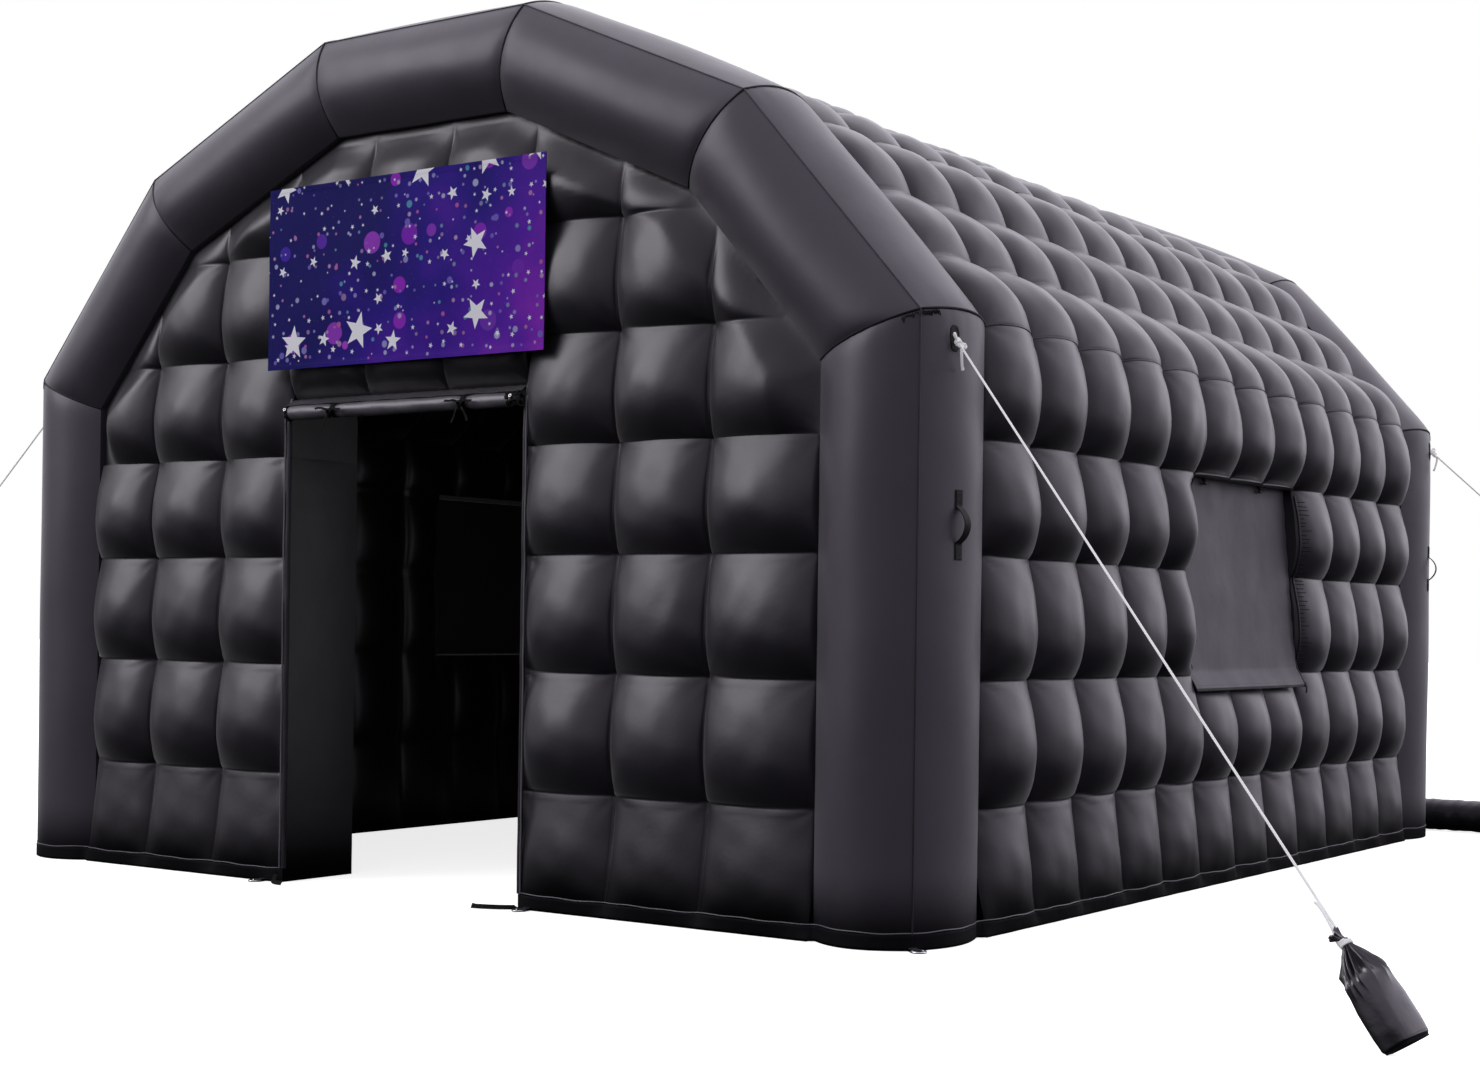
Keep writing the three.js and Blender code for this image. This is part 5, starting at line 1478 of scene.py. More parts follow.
def ground_skirt():
    rows = []
    for z, off, wave in SKIRT_LEVELS:
        line = foot_line(z, off)
        at = distances(line)
        ripple = 0.0011 * wave * (np.sin(at * 41) + 0.7 * np.sin(at * 97 + 1))
        outward = line - np.array([0, (FRONT_Y + BACK_Y) / 2])
        outward /= np.linalg.norm(outward, axis=1)[:, None]
        line = line + outward * ripple[:, None]
        rows.append(points_at(line[:, 0], line[:, 1], z))
    rings = np.stack(rows, 1)
    patches = Patches()
    tube_grid(patches, rings, rings.mean(1))
    piece = patches.build("skirt", hem_cloth)
    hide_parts("ground_skirt")


def skirt_piping():
    """The pale cord in the seam over the skirt."""
    line = foot_line(PIPING_Z, 0.0008)
    line = points_at(line[:, 0], line[:, 1], PIPING_Z)
    keep = np.concatenate([[True], np.linalg.norm(np.diff(line, axis=0), axis=1) > 0.003])
    line = spaced(line[keep], 0.018)
    count = np.arange(len(line))
    line[:, 2] += 0.0016 * np.sin(count * 0.23) + 0.0012 * np.sin(count * 0.61)
    patches = Patches()
    sweep(patches, line, round_section(SKIRT_CORD, 7))
    piece = patches.build("skirt_piping", piping_cloth)


ground_skirt()
skirt_piping()


def piped(name, lines, radius, material, spacing, sides=7):
    """Round seam cord along one or more lines."""
    patches = Patches()
    for line in lines:
        sweep(patches, spaced(line, spacing), round_section(radius, sides), (0.3, 0.2, 1))
    piece = patches.build(name, material)


def leg_stitches(end_name, seam_y, inward):
    """Hand stitches that gather the outer corner of each leg under the eave."""
    patches = Patches()
    chance = np.random.default_rng(83 if inward > 0 else 89)
    for index, joint in ((0, 1.0), (6, 0.0)):
        for face, reach, count in (("front", 0.12, 15), ("side", 0.16, 17)):
            line = []
            for k in range(count):
                t = 0.008 + reach * k / (count - 1)
                below = 0.008 if k % 2 else 0.026 + chance.uniform(-0.014, 0.016)
                s = abs(joint - below / span_length(index))
                fat = bulge(t) * tube_swell(index, s)
                lift = gathers(index, s, np.array([t]), inward)[0] + 0.0045 - 0.012 * t
                if face == "front":
                    out, back = -TUBE_WIDE * t, -(FACE_BULGE * fat + lift)
                else:
                    out, back = SIDE_BULGE * fat + lift, TUBE_DEEP * t
                line.append(tube_point(index, s, out, back, seam_y, inward))
            sweep(patches, spaced(line, 0.008), round_section(0.0019, 6))
    piece = patches.build(f"leg_stitches_{end_name}", skirt_cloth)


def arch_trim(end_name, seam_y, inward):
    """A dark seam cord along the arch's outer corner, and one round each sewn joint. The joint cords are
    thick and nearly black: partly a real seam cord, partly painted shade for the crease at the joint.
    """
    sunk = 0.0012
    seams = [
        np.array([tube_point(index, s, 0.0006, -0.0006, seam_y, inward)
                  for s in np.linspace(0.0 if 0 < index < 6 else 0.002, 1, 30)])
        for index in range(7)
    ]
    joints = []
    for index in range(6):
        t = np.linspace(1, 0, 25)
        swell = tube_swell(index, 1.0)
        ripple = gathers(index, 1.0, t, inward)
        face, side = (k * bulge(t) * swell + ripple - sunk for k in (FACE_BULGE, SIDE_BULGE))
        front = tube_point(index, 1.0, -TUBE_WIDE * t, -face, seam_y, inward)
        outside = tube_point(index, 1.0, side, TUBE_DEEP * t, seam_y, inward)
        joints.append(np.concatenate([front, outside[::-1][1:]]))
    piped(f"arch_seams_{end_name}", seams, SEAM_CORD, trim_cloth, spacing=0.025)
    # Painted shade: the thick black joint cords also stand for the dark crease at each joint.
    piped(f"arch_joints_{end_name}", joints, JOINT_CORD, skirt_cloth, spacing=0.025)


for arch in ARCHES:
    arch_trim(*arch[:3])
    leg_stitches(*arch[:3])


def eave_trim():
    """Seam cords along the eaves, where the walls meet the roof."""
    lines = []
    for side in (1, -1):
        y = np.linspace(SIDE_START + 0.004, SIDE_END - 0.004, 400)
        out = side_height(side, y, EAVE_Z - 1e-6)
        lines.append(points_at(side * (HALF_WIDTH + out), y, EAVE_Z + EAVE_PULL * out))
    piped("eave_seams", lines, EAVE_CORD, trim_cloth, spacing=0.016)


eave_trim()


def door_trim():
    """Piping and a satin binding down both edges of the doorway."""
    z = np.linspace(0.062, DOOR_TOP - 0.002, 150)
    piping, bindings = [], []
    for x, turn in ((DOOR_LEFT, -1), (DOOR_RIGHT, 1)):
        out = np.pad(front_height(x, z), 3, mode="edge")
        out = np.convolve(out, np.ones(7) / 7, mode="valid")
        bindings.append(points_at(x + turn * 0.003, FRONT_Y - out + 0.004, z))
        piping.append(points_at(x + turn * 0.0165, FRONT_Y - out - 0.0075, z))
    piped("door_bindings", bindings, DOOR_BINDING, trim_cloth, spacing=0.014, sides=10)
    piped("door_piping", piping, DOOR_CORD, piping_cloth, spacing=0.014)


door_trim()


# The banner: one printed sheet with a turned hem, held against the crests.

BANNER_X, BANNER_Z, BANNER_THICK = (-0.8, 0.8), (2.29, 3.095), 0.0022
BANNER_STEPS = (160, 90)


def sheet_shares(*counts):
    """Shares from 0 to 1 over a sheet, with the given numbers of lines each way."""
    return np.meshgrid(*[np.linspace(0, 1, count) for count in counts], indexing="ij")


def banner():
    u, v = sheet_shares(BANNER_STEPS[0] + 1, BANNER_STEPS[1] + 1)
    (x0, x1), (z0, z1) = BANNER_X, BANNER_Z
    x, z = x0 + (x1 - x0) * u, z0 + (z1 - z0) * v
    wave = 0.006 * np.sin(np.pi * u) * mellow(v) ** 0.5
    wave += 0.0016 * np.sin(19 * u + 3 * v) * mellow(v) + 0.0012 * np.sin(9 * v - 13 * u + 1)
    wave += 0.0014 * np.exp(-v / 0.05) * (1 + np.sin(45 * u))
    wave += 0.001 * np.exp(-(1 - v) / 0.04) * (1 + np.sin(52 * u))
    edge = np.minimum(np.minimum(x - x0, x1 - x), np.minimum(z - z0, z1 - z))
    hem = 0.0011 * np.clip((0.024 - edge) / 0.0025, 0, 1) - 0.0007 * np.exp(-((edge - 0.022) / 0.003) ** 2)
    y_back = FRONT_Y - CREST - 0.0006 - np.clip(wave, 0, None)
    face = np.stack([x, y_back - BANNER_THICK - hem, z], -1)
    rear = np.stack([x, y_back, z], -1)
    uv = np.stack([x - x0, z - z0], -1)
    patches = Patches()
    patches.grid(face, (0, -1, 0), uv)
    patches.grid(rear[::4, ::3], (0, 1, 0), uv[::4, ::3], slot=1)
    sheet_edges(patches, face, rear, ((FIRST_ROW, (-1, 0, 0)), (LAST_ROW, (1, 0, 0)),
                                      (FIRST_COLUMN, (0, 0, -1)), (LAST_COLUMN, (0, 0, 1))), uv)
    # A row of stitches runs round the hem.
    left, right, low, high = x0 + 0.018, x1 - 0.018, z0 + 0.018, z1 - 0.018
    corners = ((left, low), (right, low), (right, high), (left, high), (left, low))
    path = spaced([(a, 0, b) for a, b in corners], HEM_STITCH[0])
    shares = (path[:, ::2] - (x0, z0)) / (x1 - x0, z1 - z0)
    columns, levels = (shares * BANNER_STEPS).round().astype(int).T
    path[:, 1] = face[columns, levels, 1] - 0.0002
    stitch_row(patches, path, (0, -1, 0), HEM_STITCH, slot=2)
    piece = patches.build("banner_sheet", banner_print, skirt_cloth, banner_thread)
    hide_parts("banner")


banner()


# The door flap, rolled up under the lintel.

ROLL_RADIUS, ROLL_Y, ROLL_Z = 0.034, FRONT_Y - 0.046, DOOR_TOP - 0.068
ROLL_FROM, ROLL_TO = DOOR_LEFT + 0.006, DOOR_RIGHT - 0.006
TIE_X = (-0.433, 0.332)
TIE_HALF_WIDTHS = (0.013, 0.018, 0.03, 0.045, 0.06)
ROLL_TURNS, ROLL_CORE, STEPS_A_TURN = 15.5, 0.006, 34
# How far round the roll the sheet's outer end lies, in radians.
ROLL_END = 0.9


def roll_scale(x, turn):
    """The roll's size along its length: pinched by its ties, a little smaller at its ends, and lumpy."""
    pinch = np.ones(x.shape)
    gather = np.zeros(x.shape)
    for tie in TIE_X:
        near = np.abs(x - tie)
        pinch = np.minimum(pinch, 0.8 + 0.2 * np.clip((near - 0.013) / 0.045, 0, 1) ** 0.7)
        gather = gather + 0.05 * np.exp(-near / 0.035) * np.sin(9 * turn + 5 * tie)
    ends = np.minimum(x - ROLL_FROM, ROLL_TO - x)
    pinch = pinch * (0.87 + 0.13 * np.clip(ends / 0.04, 0, 1) ** 0.5)
    lumps = 0.022 * np.sin(13 * x + 2 * turn) + 0.02 * np.sin(29 * x - 3 * turn + 1)
    lumps = lumps + 0.012 * np.sin(61 * x + 4 * turn + 2)
    return pinch * (0.985 + lumps + gather * (pinch < 0.99))


def round_roll(x, radius, turn):
    """Points round the roll's axis."""
    return points_at(x, ROLL_Y + radius * np.cos(turn), ROLL_Z + radius * np.sin(turn))


def out_of_roll(turn):
    return points_at(0.0, np.cos(turn), np.sin(turn))


def door_roll():
    theta = np.linspace(0, ROLL_TURNS * 2 * np.pi, int(ROLL_TURNS * STEPS_A_TURN) + 1)
    radius = ROLL_CORE + (ROLL_RADIUS - 0.0008 - ROLL_CORE) * theta / theta[-1]
    by_ties = [tie + way * half for tie in TIE_X for half in TIE_HALF_WIDTHS for way in (-1, 1)]
    x = np.unique(np.concatenate([np.linspace(ROLL_FROM, ROLL_TO, 34), by_ties]).round(5))
    grid_x, grid_spin = np.meshgrid(x, theta - theta[-1] + ROLL_END, indexing="ij")
    points = round_roll(grid_x, radius[None, :] * roll_scale(grid_x, grid_spin), grid_spin)
    laid = np.concatenate([[0], np.cumsum((radius[:-1] + radius[1:]) / 2 * np.diff(theta))])
    patches = Patches()
    patches.grid(points, None, np.stack(np.meshgrid(x, laid, indexing="ij"), -1))
    # The sheet's hem at both ends of the roll.
    for end in (0, -1):
        sweep(patches, points[end, -2 * STEPS_A_TURN:], round_section(0.0012, 6), up=(1, 0, 0), slot=1)
    piece = patches.build("flap_roll", roll_cloth, piping_cloth)
    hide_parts("door_flap_roll")


door_roll()

TIE_RADIUS = ROLL_RADIUS * 0.8 + 0.0022
TIE_ENDS = [
    (-0.055, -0.010, 0.020), (0.052, -0.008, 0.016), (-0.030, -0.006, -0.060), (0.034, -0.006, -0.056),
]


def tie_end(number, k, front, reach, sway):
    """One of a tie's free ends, which hangs from its knot."""
    start = front + reach * (0.2, 0, 0.15) + (0, -0.006, 0)
    drop = np.array([0, 0, -0.012 if reach[2] > -0.02 else 0.0])
    line = smooth_line([
        start, start + reach * 0.35 + (0, -0.004, 0.003),
        start + reach * 0.8 + sway * (1, 0.2, 1) + drop * 0.4, start + reach * 1.2 + drop * 1.2,
    ], 0.004)
    patches = Patches()
    sweep(patches, line, strap_section(width=0.0102, thick=0.002), up=(0.2, -1, 0.3))
    tail = patches.build(f"tie_{number}_end_{k + 1}", tie_webbing)


def knotted_tie(number, x):
    """A webbing tie round the roll, with its knot in front and its free ends hanging from it."""
    chance = np.random.default_rng(70 + number)
    patches = Patches()
    turn = np.linspace(0, 2 * np.pi, 41)[:-1]
    band = strap_section(width=0.024, thick=0.0022)
    sweep_loop(patches, round_roll(x, TIE_RADIUS, turn), band, up=out_of_roll(turn))
    # The knot: two crossed bights over the band's front.
    front = np.array([x, ROLL_Y - TIE_RADIUS - 0.004, ROLL_Z - 0.006])
    s = np.linspace(0, 2 * np.pi, 61)[:-1]
    knot = front + np.stack([
        0.019 * np.sin(s) + 0.009 * np.sin(2 * s), -0.006 * np.cos(3 * s) - 0.005,
        0.016 * np.cos(s) - 0.010 * np.cos(2 * s),
    ], -1)
    sweep_loop(patches, knot, strap_section(width=0.013, thick=0.004), up=(0, -1, 0))
    wad = front + np.stack([0.011 * np.cos(s), -0.004 + 0.003 * np.sin(2 * s), 0.010 * np.sin(s)], -1)
    sweep_loop(patches, wad, strap_section(width=0.011, thick=0.005), up=(0.3, -1, 0.2))
    piece = patches.build(f"tie_{number}", tie_webbing)
    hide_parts(f"door_flap_tie_{number}")
    for k, reach in enumerate(TIE_ENDS if number == 2 else TIE_ENDS[:3]):
        tie_end(number, k, front, np.array(reach), chance.uniform(-0.004, 0.004, 3))


for number, x in enumerate(TIE_X):
    knotted_tie(number + 1, x)


def roll_ends():
    """Elastic webbing that bunches both ends of the roll, each with a small bright eyelet."""
    patches = Patches()
    turn = np.linspace(0, 2 * np.pi, 73)[:-1]
    ring = np.stack([np.cos(turn), np.sin(turn)], -1)[::3]
    for x, bands in ((ROLL_FROM + 0.016, 1), (ROLL_TO - 0.052, 3)):
        for band in range(bands):
            ruffle = 0.0022 * np.sin(9 * turn + 2 * band) + 0.0012 * np.sin(17 * turn + band)
            sway = 0.004 * np.sin(2 * turn + band) + 0.0016 * np.sin(11 * turn)
            line = round_roll(x + 0.021 * band + sway, ROLL_RADIUS * 0.9 + 0.002 + ruffle, turn)
            sweep_loop(patches, line, strap_section(width=0.019, thick=0.0034), up=out_of_roll(turn))
        centre = np.array([x + 0.0105 * (bands - 1), ROLL_Y, ROLL_Z])
        facing = np.array([0, -0.93, 0.37])
        around = ring @ np.array([(1, 0, 0), np.cross(facing, (1, 0, 0))])
        eyelet = centre + facing * (ROLL_RADIUS * 0.9 + 0.0062) + 0.0062 * around
        sweep_loop(patches, eyelet, round_section(0.0022, 8), up=facing, slot=1)
    piece = patches.build("roll_ends", tie_webbing, ring_metal)


roll_ends()


def flap_strip():
    """The part of the door flap between the lintel and its roll: one curved sheet with a sewn edge."""
    line = smooth_line([
        (0, 0.060, DOOR_TOP - 0.0035), (0, 0.02, DOOR_TOP - 0.0035), (0, -0.004, DOOR_TOP - 0.0045),
        (0, -0.022, DOOR_TOP - 0.013), (0, -0.036, DOOR_TOP - 0.0235), (0, -0.048, DOOR_TOP - 0.0315),
    ], 0.004)
    x, share = np.meshgrid(np.linspace(ROLL_FROM, ROLL_TO, 140), np.linspace(0, 1, len(line)), indexing="ij")
    wave = 0.0014 * np.sin(37 * x) * share ** 2 + 0.0011 * np.sin(83 * x + 2) * mellow(share)
    top = points_at(x, FRONT_Y + line[:, 1], line[:, 2] + wave)
    low = top - np.array([0, 0, 0.0016])
    patches = Patches()
    patches.grid(top, (0, -0.6, 1))
    patches.grid(low, (0, 0.6, -1))
    sheet_edges(patches, top, low, ((LAST_COLUMN, (0, -1, -0.5)), (FIRST_ROW, (-1, 0, 0)),
                                    (LAST_ROW, (1, 0, 0))))
    for row in (-3, -6):
        stitch_row(patches, top[:, row] + (0, -0.0003, 0.0005), (0, -0.6, 1), FLAP_STITCH, slot=1)
    sweep(patches, spaced(top[:, -1] + (0, -0.001, -0.001), 0.02), round_section(0.0022, 7), slot=2)
    piece = patches.build("flap_strip", strip_cloth, thread, trim_cloth)
    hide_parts("door_flap_strip")


flap_strip()


# The window covers, with their hems, toggles and gathered edges.

COVER_Y = (WINDOW_U0 + 0.0006, WINDOW_U1 - 0.0006)
# The cover's fall, from its top edge down over the sill.
COVER_FALL = [
    (2.4305, 0, 1.9090), (2.448, 0, 1.70), (2.470, 0, 1.45), (2.492, 0, 1.20), (2.5125, 0, 1.015),
    (2.521, 0, 0.988), (2.545, 0, 0.950), (2.5645, 0, 0.9150),
]


def window_cover(side, name):
    (y0, y1), out = COVER_Y, (side, 0, 0.2)
    down = smooth_line(COVER_FALL, 0.011)
    u, v = sheet_shares(110, len(down))
    x = down[:, 0] + 0.006 * mellow(u) ** 0.3 * mellow(v) * np.sin(5 * u + 1)
    x = x + 0.0012 * np.sin(17 * u + 4 * v) * v + 0.0008 * np.sin(39 * u) * v ** 4
    x = x + 0.0015 * np.exp(-u / 0.03) * np.sin(60 * v) * v
    x = x + 0.002 * np.exp(-(1 - u) / 0.03) * np.sin(55 * v + 1)
    face = points_at(side * (x + 0.0018), y0 + (y1 - y0) * u, down[:, 2])
    rear = points_at(side * x, y0 + (y1 - y0) * u, down[:, 2])
    patches = Patches()
    patches.grid(face, (side, 0, 0.3))
    patches.grid(rear[::3, ::2], (-side, 0, -0.3))
    sheet_edges(patches, face, rear, ((FIRST_ROW, (0, -1, 0)), (LAST_ROW, (0, 1, 0)),
                                      (LAST_COLUMN, (0, 0, -1)), (FIRST_COLUMN, (0, 0, 1))))
    # Bound edges: dark tape round the sheet, with a line of stitches inside it.
    for line in (face[0], face[-1], face[:, -1]):
        tape = spaced(line + (side * 0.0005, 0, 0), 0.012)
        sweep(patches, tape, strap_section(width=0.014, thick=0.003), up=out, slot=1)
    for line in (face[3], face[-4], face[:, -3]):
        stitch_row(patches, line + (side * 0.0004, 0, 0), out, HEM_STITCH, slot=1)
    piece = patches.build(f"cover_{name}", cover_cloth, skirt_cloth)
    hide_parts(f"window_cover_{name}")


def cover_fittings(side, name):
    """Toggles in loops along the cover's top edge, and the loose tab of a tape at the sill."""
    (y0, y1), way = COVER_Y, np.array([side, 1, 1])
    patches = Patches()
    for share in (0.24, 0.74):
        spot = np.array([side * 2.436, y0 + (y1 - y0) * share, 1.884])
        loop = spot + way * [(0.002, -0.012, 0.024), (0.010, -0.011, 0.004), (0.011, 0, -0.005),
                             (0.010, 0.011, 0.004), (0.002, 0.012, 0.024)]
        sweep(patches, smooth_line(loop, 0.003), round_section(0.0036, 8), up=(side, 0, 0))
        peg = spaced(spot + way * [(0.014, -0.021, -0.003), (0.014, 0.021, -0.003)], 0.003)
        taper = 1 - 0.35 * np.abs(np.linspace(-1, 1, len(peg))) ** 3
        sweep(patches, peg, round_section(0.0078, 12)[None] * taper[:, None, None], up=(side, 0, 0), slot=1)
    tab = way * [(2.568, y1 - 0.018, 0.93), (2.574, y1 - 0.012, 0.905), (2.572, y1 - 0.008, 0.878)]
    sweep(patches, smooth_line(tab, 0.004), strap_section(width=0.02, thick=0.0024), up=(side, 0, 0))
    piece = patches.build(f"cover_fittings_{name}", tie_webbing, toggle_plastic)


def window_edges(side, name):
    """Close stitches and welts down both sides of the opening, and short tucks beside it."""
    def on_wall(y, z, off):
        return points_at(side * (HALF_WIDTH + side_height(side, y, z) + off), y, z)
    patches = Patches()
    z = np.linspace(WINDOW_V0 + 0.03, WINDOW_V1 - 0.03, 70)
    for y, turn in ((WINDOW_U0, -1), (WINDOW_U1, 1)):
        row = on_wall(y + turn * 0.012, z, 0.0006)
        stitch_row(patches, row, (side, 0, 0), WINDOW_STITCH)
        welt = row + (side * -0.0026, turn * -0.009, 0)
        sweep(patches, spaced(welt, 0.012), round_section(0.0052, 8), slot=1)
    # The tucks pull the half cells beside the opening together.
    chance = np.random.default_rng(97)
    for z in np.arange(WINDOW_V0 + 0.05, WINDOW_V1 - 0.05, 0.021):
        reach = chance.uniform(0.012, 0.05)
        y = np.linspace(WINDOW_U1 + 0.010, WINDOW_U1 + 0.014 + reach, 5)
        tuck = on_wall(y, z + chance.uniform(-0.004, 0.004) * np.linspace(0, 1, 5), 0)
        sweep(patches, tuck, round_section(0.0021, 6), up=(side, 0, 0), slot=2)
    piece = patches.build(f"window_edges_{name}", thread, trim_cloth, skirt_cloth)


for side, name in ((1, "right"), (-1, "left")):
    window_cover(side, name)
    cover_fittings(side, name)
    window_edges(side, name)


# Webbing on the legs, and what lies on the ground.

def hand_loop(corner):
    """A webbing loop with both ends sewn to a leg, each with a crossed box of stitches on a backing."""
    depth, low, high, sewn, bow = 0.185, 1.44, 1.69, 0.06, 0.042
    out = leg_outward(corner, depth, 1.56)
    stops = [(low, 0), (low + 0.03, 0), (low + sewn - 0.004, 0)]
    stops += [(low + sewn + (high - low - 2 * sewn) * t, bow * math.sin(math.pi * t) ** 0.7)
              for t in (0.06, 0.16, 0.3, 0.5, 0.7, 0.84, 0.94)]
    stops += [(high - sewn + 0.004, 0), (high - 0.03, 0), (high, 0)]
    line = smooth_line([on_leg(corner, depth, z, 0.0021) + out * b for z, b in stops], 0.005)
    patches = Patches()
    sweep(patches, line, strap_section(width=0.038, thick=0.0034), up=out)
    for start, end in ((low + 0.004, low + sewn - 0.008), (high - sewn + 0.008, high - 0.004)):
        under = [on_leg(corner, depth, z, 0.0008) for z in np.linspace(start - 0.01, end + 0.01, 14)]
        sweep(patches, np.array(under), strap_section(width=0.046, thick=0.0018), up=out)
        box = [on_leg(corner, depth + across, z, 0.0042)
               for across, z in ((-0.014, start), (0.014, start), (0.014, end), (-0.014, end))]
        for row in ([*box, box[0]], [box[0], box[2]], [box[1], box[3]]):
            stitch_row(patches, row, out, BOX_STITCH, slot=1)
    piece = patches.build(f"loop_{corner}", webbing_cloth, thread)
    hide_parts(f"handle_{corner}")


for corner in LEGS:
    hand_loop(corner)


WIRE, RING_HALF, RING_DEEP, RING_CORNER = 0.004, 0.028, 0.042, 0.008
# Where the ring's straight side lies, how high, and how far round the wire the tab is folded.
RING_STRAIGHT, RING_LIFT, TAB_WRAP = -0.0383, 0.0062, WIRE + 0.0011


def ring_outline():
    """A D ring from the middle of its straight side, round to where it starts."""
    def rounded_corner(side, turns):
        return [(side * (RING_HALF - RING_CORNER + RING_CORNER * math.sin(a)),
                 RING_STRAIGHT - RING_CORNER * (1 - math.cos(a)), RING_LIFT) for a in turns]
    turns = np.linspace(0.3, math.pi / 2, 5)
    bow = [(RING_HALF * math.cos(a), RING_STRAIGHT - RING_CORNER - (RING_DEEP - RING_CORNER) * math.sin(a),
            RING_LIFT) for a in np.linspace(0.12, math.pi - 0.12, 22)]
    straight = [(x, RING_STRAIGHT, RING_LIFT) for x in (0, RING_HALF - RING_CORNER)]
    last = [(RING_CORNER - RING_HALF, RING_STRAIGHT, RING_LIFT)]
    return straight + rounded_corner(1, turns) + bow + rounded_corner(-1, turns[::-1]) + last


def ground_anchor(name, x, y, turn):
    """A webbing tab from the skirt that is folded round the straight side of a D ring."""
    spin = Matrix.Rotation(turn, 4, "Z")

    def moved(spots):
        return np.array([(spin @ Vector(spot)) + Vector((x, y, 0)) for spot in spots])
    patches = Patches()
    sweep_loop(patches, moved(ring_outline()), round_section(WIRE, 14))
    weld = moved([(-0.004 + 0.002 * k, RING_STRAIGHT, RING_LIFT) for k in range(5)])
    thickness = WIRE * (1 + 0.14 * np.sin(np.linspace(0, np.pi, 5)))
    sweep(patches, weld, round_section(1, 12)[None] * thickness[:, None, None])
    ring = patches.build(f"ring_{name}", ring_metal)
    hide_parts(f"anchor_ring_{name}")
    fold = [(0, RING_STRAIGHT - TAB_WRAP * math.sin(a), RING_LIFT + TAB_WRAP * math.cos(a))
            for a in np.linspace(0, math.pi, 9)]
    path = [(0, 0.001, 0.013), (0, -0.006, 0.0105), (0, -0.014, 0.0100),
            (0, RING_STRAIGHT + 0.006, RING_LIFT + TAB_WRAP), *fold,
            (0, -0.022, 0.0014), (0, -0.010, 0.0014), (0, 0.001, 0.0014)]
    patches = Patches()
    sweep(patches, smooth_line(moved(path), 0.0025), strap_section(width=0.036, thick=0.0019))
    for back, z in ((-0.018, 0.0112), (-0.012, 0.0114)):
        row = moved([(-0.015, back, z), (0.015, back, z)])
        stitch_row(patches, row, (0, 0, 1), TAB_STITCH, slot=1)
    tab = patches.build(f"tab_{name}", webbing_cloth, thread)
    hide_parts(f"anchor_tab_{name}")


ground_anchor("left", -0.84, FRONT_Y - 0.0518, 0)
ground_anchor("right", 0.71, FRONT_Y - 0.0518, 0)
ground_anchor("corner", 2.5038, FRONT_Y - 0.0037, 1)

# The points of each loose strap, in millimetres from the middle of the front seam.
LOOSE_STRAPS = {
    "left": [(-754, -58.2, 34), (-752, -70, 20), (-736, -92, 3), (-700, -112, 1.5), (-656, -118, 1.5)],
    "right": [(654, -52, 3), (650, -64, 1.5), (612, -96, 1.5), (550, -126, 1.5), (486, -142, 1.5)],
}


def loose_strap(name):
    line = smooth_line(np.array(LOOSE_STRAPS[name]) / 1000 + (0, FRONT_Y, 0.0003), 0.004)
    # The webbing has rolled half over on to one edge.
    line[:, 2] = np.maximum(line[:, 2], 0.0096)
    up = np.array([0.25, -0.85, 0.6])
    ups = np.tile(up, (len(line), 1))
    sides, _, _ = frames_along(line, ups)
    patches = Patches()
    sweep(patches, line, strap_section(width=0.0215, thick=0.0023), up=ups)
    sweep(patches, line[-4:] + (0, 0, 0.0016), strap_section(width=0.0213, thick=0.0012), up=ups[-4:])
    for across in (-0.0075, 0.0075):
        row = line[2:-2] + sides[2:-2] * across + up * 0.00135
        stitch_row(patches, row, up, STRAP_STITCH)
    piece = patches.build(f"strap_{name}", tie_webbing)
    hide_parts(f"loose_strap_{name}")


for strap_name in LOOSE_STRAPS:
    loose_strap(strap_name)


# The air duct behind the tent: a cloth tube that hangs slack between its bends, tied shut at its end.

DUCT_RADIUS, DUCT_X, RUN_Y, DUCT_BEND = 0.095, 1.7, BACK_Y + 0.35, 0.19


def duct_line():
    """The duct's middle line, with its size at each point: full as far as the tail, then drawn in."""
    turn_y = RUN_Y - DUCT_BEND
    spots = [(DUCT_X, BACK_Y + 0.005, 0.175), (DUCT_X, BACK_Y + 0.1, 0.175), (DUCT_X, turn_y, 0.135)]
    for k in range(1, 6):
        a = math.pi / 2 * k / 5
        spots.append((DUCT_X + DUCT_BEND * (1 - math.cos(a)), turn_y + DUCT_BEND * math.sin(a),
                      DUCT_RADIUS + 0.04 * (1 - k / 5) ** 2))
    spots += [(x, RUN_Y, DUCT_RADIUS) for x in (2.3, 2.65, 2.96)]
    line = smooth_line(spots, 0.008)
    tail = [(2.96, RUN_Y, DUCT_RADIUS), (3.0, RUN_Y, 0.085), (3.04, RUN_Y, 0.071), (3.08, RUN_Y, 0.057)]
    tail = smooth_line(tail, 0.004)[1:]
    drawn_in = np.interp(tail[:, 0], [2.96, 3.04, 3.066, 3.08], [1, 0.6, 0.24, 0.3])
    return np.concatenate([line, tail]), np.concatenate([np.ones(len(line)), drawn_in])


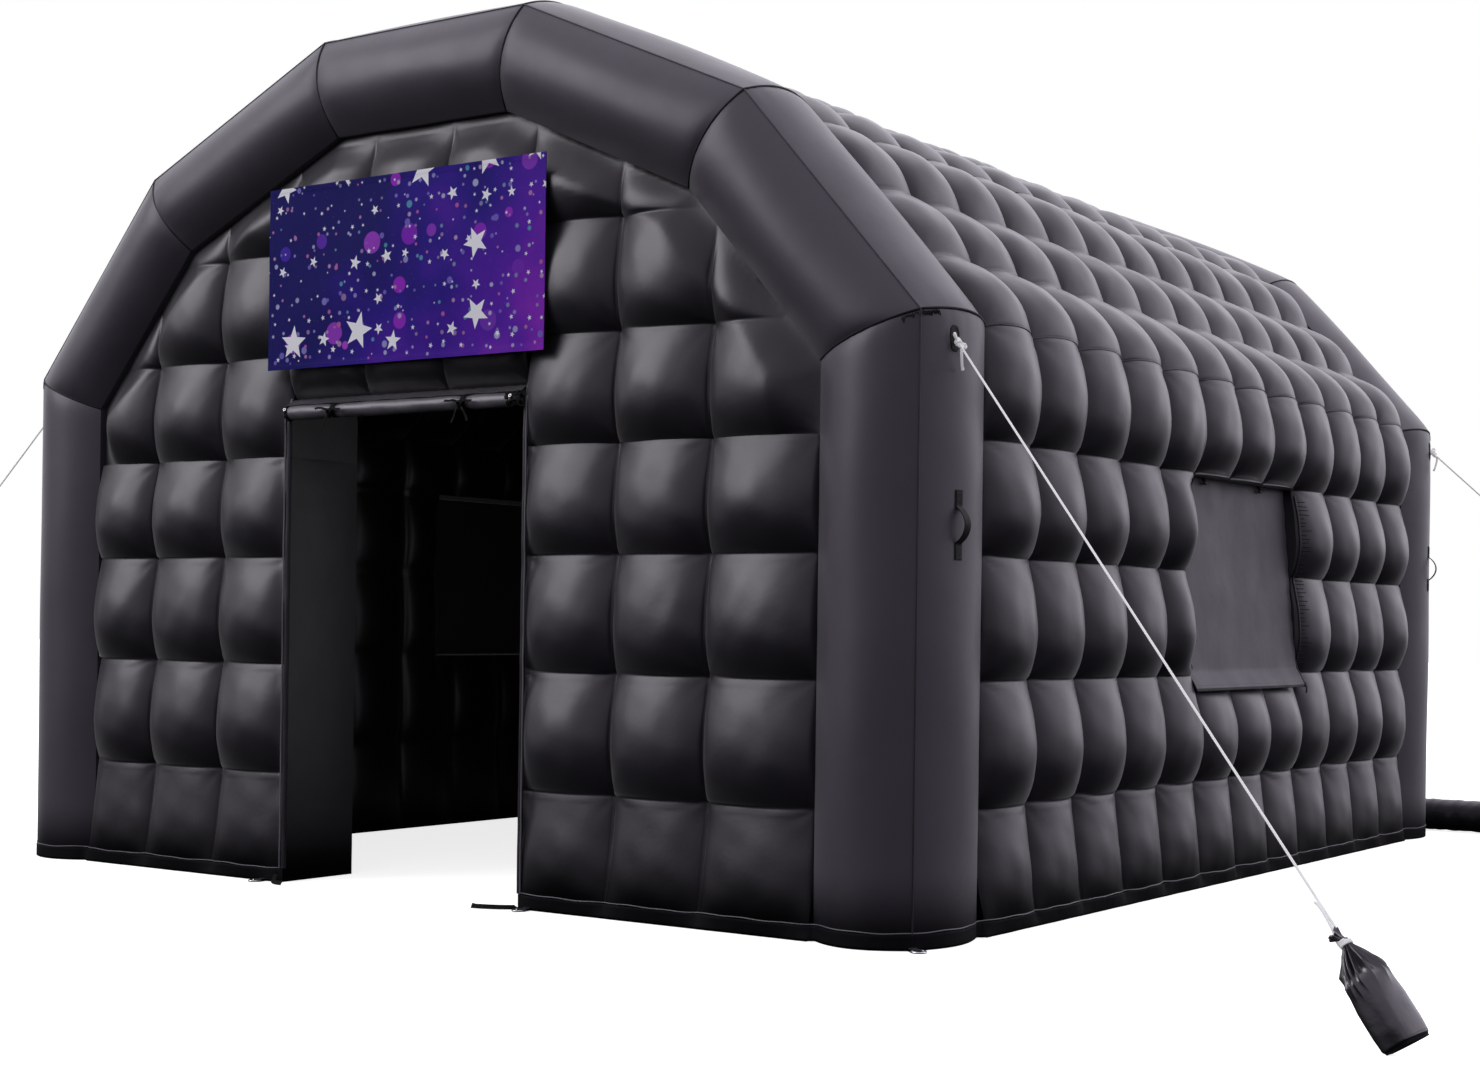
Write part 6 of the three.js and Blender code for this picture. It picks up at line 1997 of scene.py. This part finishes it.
def air_duct():
    line, sizes = duct_line()
    along = distances(line)
    at, turn = np.meshgrid(along, turned(56), indexing="ij")
    inner = np.exp(-((at - 0.34) / 0.13) ** 2) * np.clip(np.cos(turn), 0, 1)
    wrinkle = 0.05 * inner * np.sin(at * 190) + 0.012 * np.sin(at * 47 + 2 * turn)
    wrinkle = wrinkle + 0.010 * np.sin(at * 83 - 3 * turn + 1)
    seam = -0.014 * np.exp(-(((at % 0.3) - 0.15) / 0.006) ** 2)
    closing = np.clip((1 - sizes[:, None]) * 2, 0, 1)
    pleats = 0.22 * closing * np.sin(11 * turn + 0.8 * np.sin(3 * turn))
    size = DUCT_RADIUS * sizes[:, None] * (0.975 + wrinkle * (1 - closing) + seam + pleats)
    rings = rings_along(line, np.stack([size * np.cos(turn), size * np.sin(turn)], -1), (0, 0, 1))
    rings[..., 2] = np.maximum(rings[..., 2], 0.001)
    patches = Patches()
    tube_grid(patches, rings, line)
    collar = line[(along > 0.06) & (along < 0.085)]
    sweep(patches, collar, round_section(DUCT_RADIUS * 1.005, 56), slot=1)
    # A cord wound two and a half times round the gathered end.
    a = np.linspace(0, 2 * math.pi * 2.5, 48)
    turns = points_at(3.064 + 0.002 * np.sin(3 * a) + 0.0022 * a / 6.28, RUN_Y + 0.026 * np.cos(a),
                      0.0625 + 0.026 * np.sin(a))
    sweep(patches, turns, round_section(0.003, 8), up=(1, 0, 0), slot=1)
    piece = patches.build("duct", duct_cloth, trim_cloth)
    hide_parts("air_duct")


air_duct()


# The studio: a plain pale floor, a pale sky and soft lights.

bpy.context.scene.view_settings.view_transform = "Standard"

WHITE = (1, 1, 1, 1)

floor_material, floor_tree, floor_shader = new_tree("floor")
feed(floor_tree, floor_shader, {
    "Base Color": (0.93, 0.96, 0.91, 1), "Roughness": 0.9, "Emission Color": WHITE, "Emission Strength": 0.8,
})
bpy.ops.mesh.primitive_plane_add(size=160, location=(0, 0, -0.002))
floor = bpy.context.object
floor.name = "floor"
floor.data.materials.append(floor_material)
floor.visible_diffuse = False
floor.visible_glossy = False

world = bpy.data.worlds.new("sky")
bpy.context.scene.world = world
world.use_nodes = True
sky = world.node_tree
sky.nodes.clear()
sky_out = sky.nodes.new("ShaderNodeOutputWorld")
direction = add_node(sky, "ShaderNodeTexCoord").outputs["Generated"]
height = add_node(sky, "ShaderNodeSeparateXYZ", {"Vector": direction}).outputs["Z"]
toward = add_node(sky, "ShaderNodeVectorMath", {0: direction, 1: (-0.12, 0.97, 0.2)}, operation="DOT_PRODUCT")
level = mapped(sky, height, -0.13, 0.15, 0.0, 1.0, "SMOOTHSTEP")
shade = mapped(sky, toward.outputs["Value"], -0.35, 0.97, 0.5, 1.35, "SMOOTHSTEP")
strength = wired(sky, "MULTIPLY", level, shade)
lit = add_node(sky, "ShaderNodeBackground", {"Color": (1.0, 0.962, 1.06, 1), "Strength": strength}).outputs[0]
seen = add_node(sky, "ShaderNodeBackground", {"Color": WHITE, "Strength": 1.0}).outputs[0]
by_camera = add_node(sky, "ShaderNodeLightPath").outputs["Is Camera Ray"]
mixed = add_node(sky, "ShaderNodeMixShader", {0: by_camera, 1: lit, 2: seen}).outputs[0]
sky.links.new(mixed, sky_out.inputs["Surface"])


def area_light(name, place, aim, size, power):
    data = bpy.data.lights.new(name, "AREA")
    data.shape = "RECTANGLE"
    data.size, data.size_y = size
    data.energy = power
    light = bpy.data.objects.new(name, data)
    light.location = place
    light.rotation_euler = (Vector(aim) - Vector(place)).to_track_quat("-Z", "Y").to_euler()
    bpy.context.collection.objects.link(light)
    return light


area_light("key", place=(-8.6, -13.4, 10.4), aim=(0, -2, 1.6), size=(11, 11), power=1200)
inside = area_light("inside", place=(1.6, -1.2, 1.3), aim=(-0.74, -2.85, 1.05), size=(1.2, 2.2), power=4)
inside.visible_camera = False
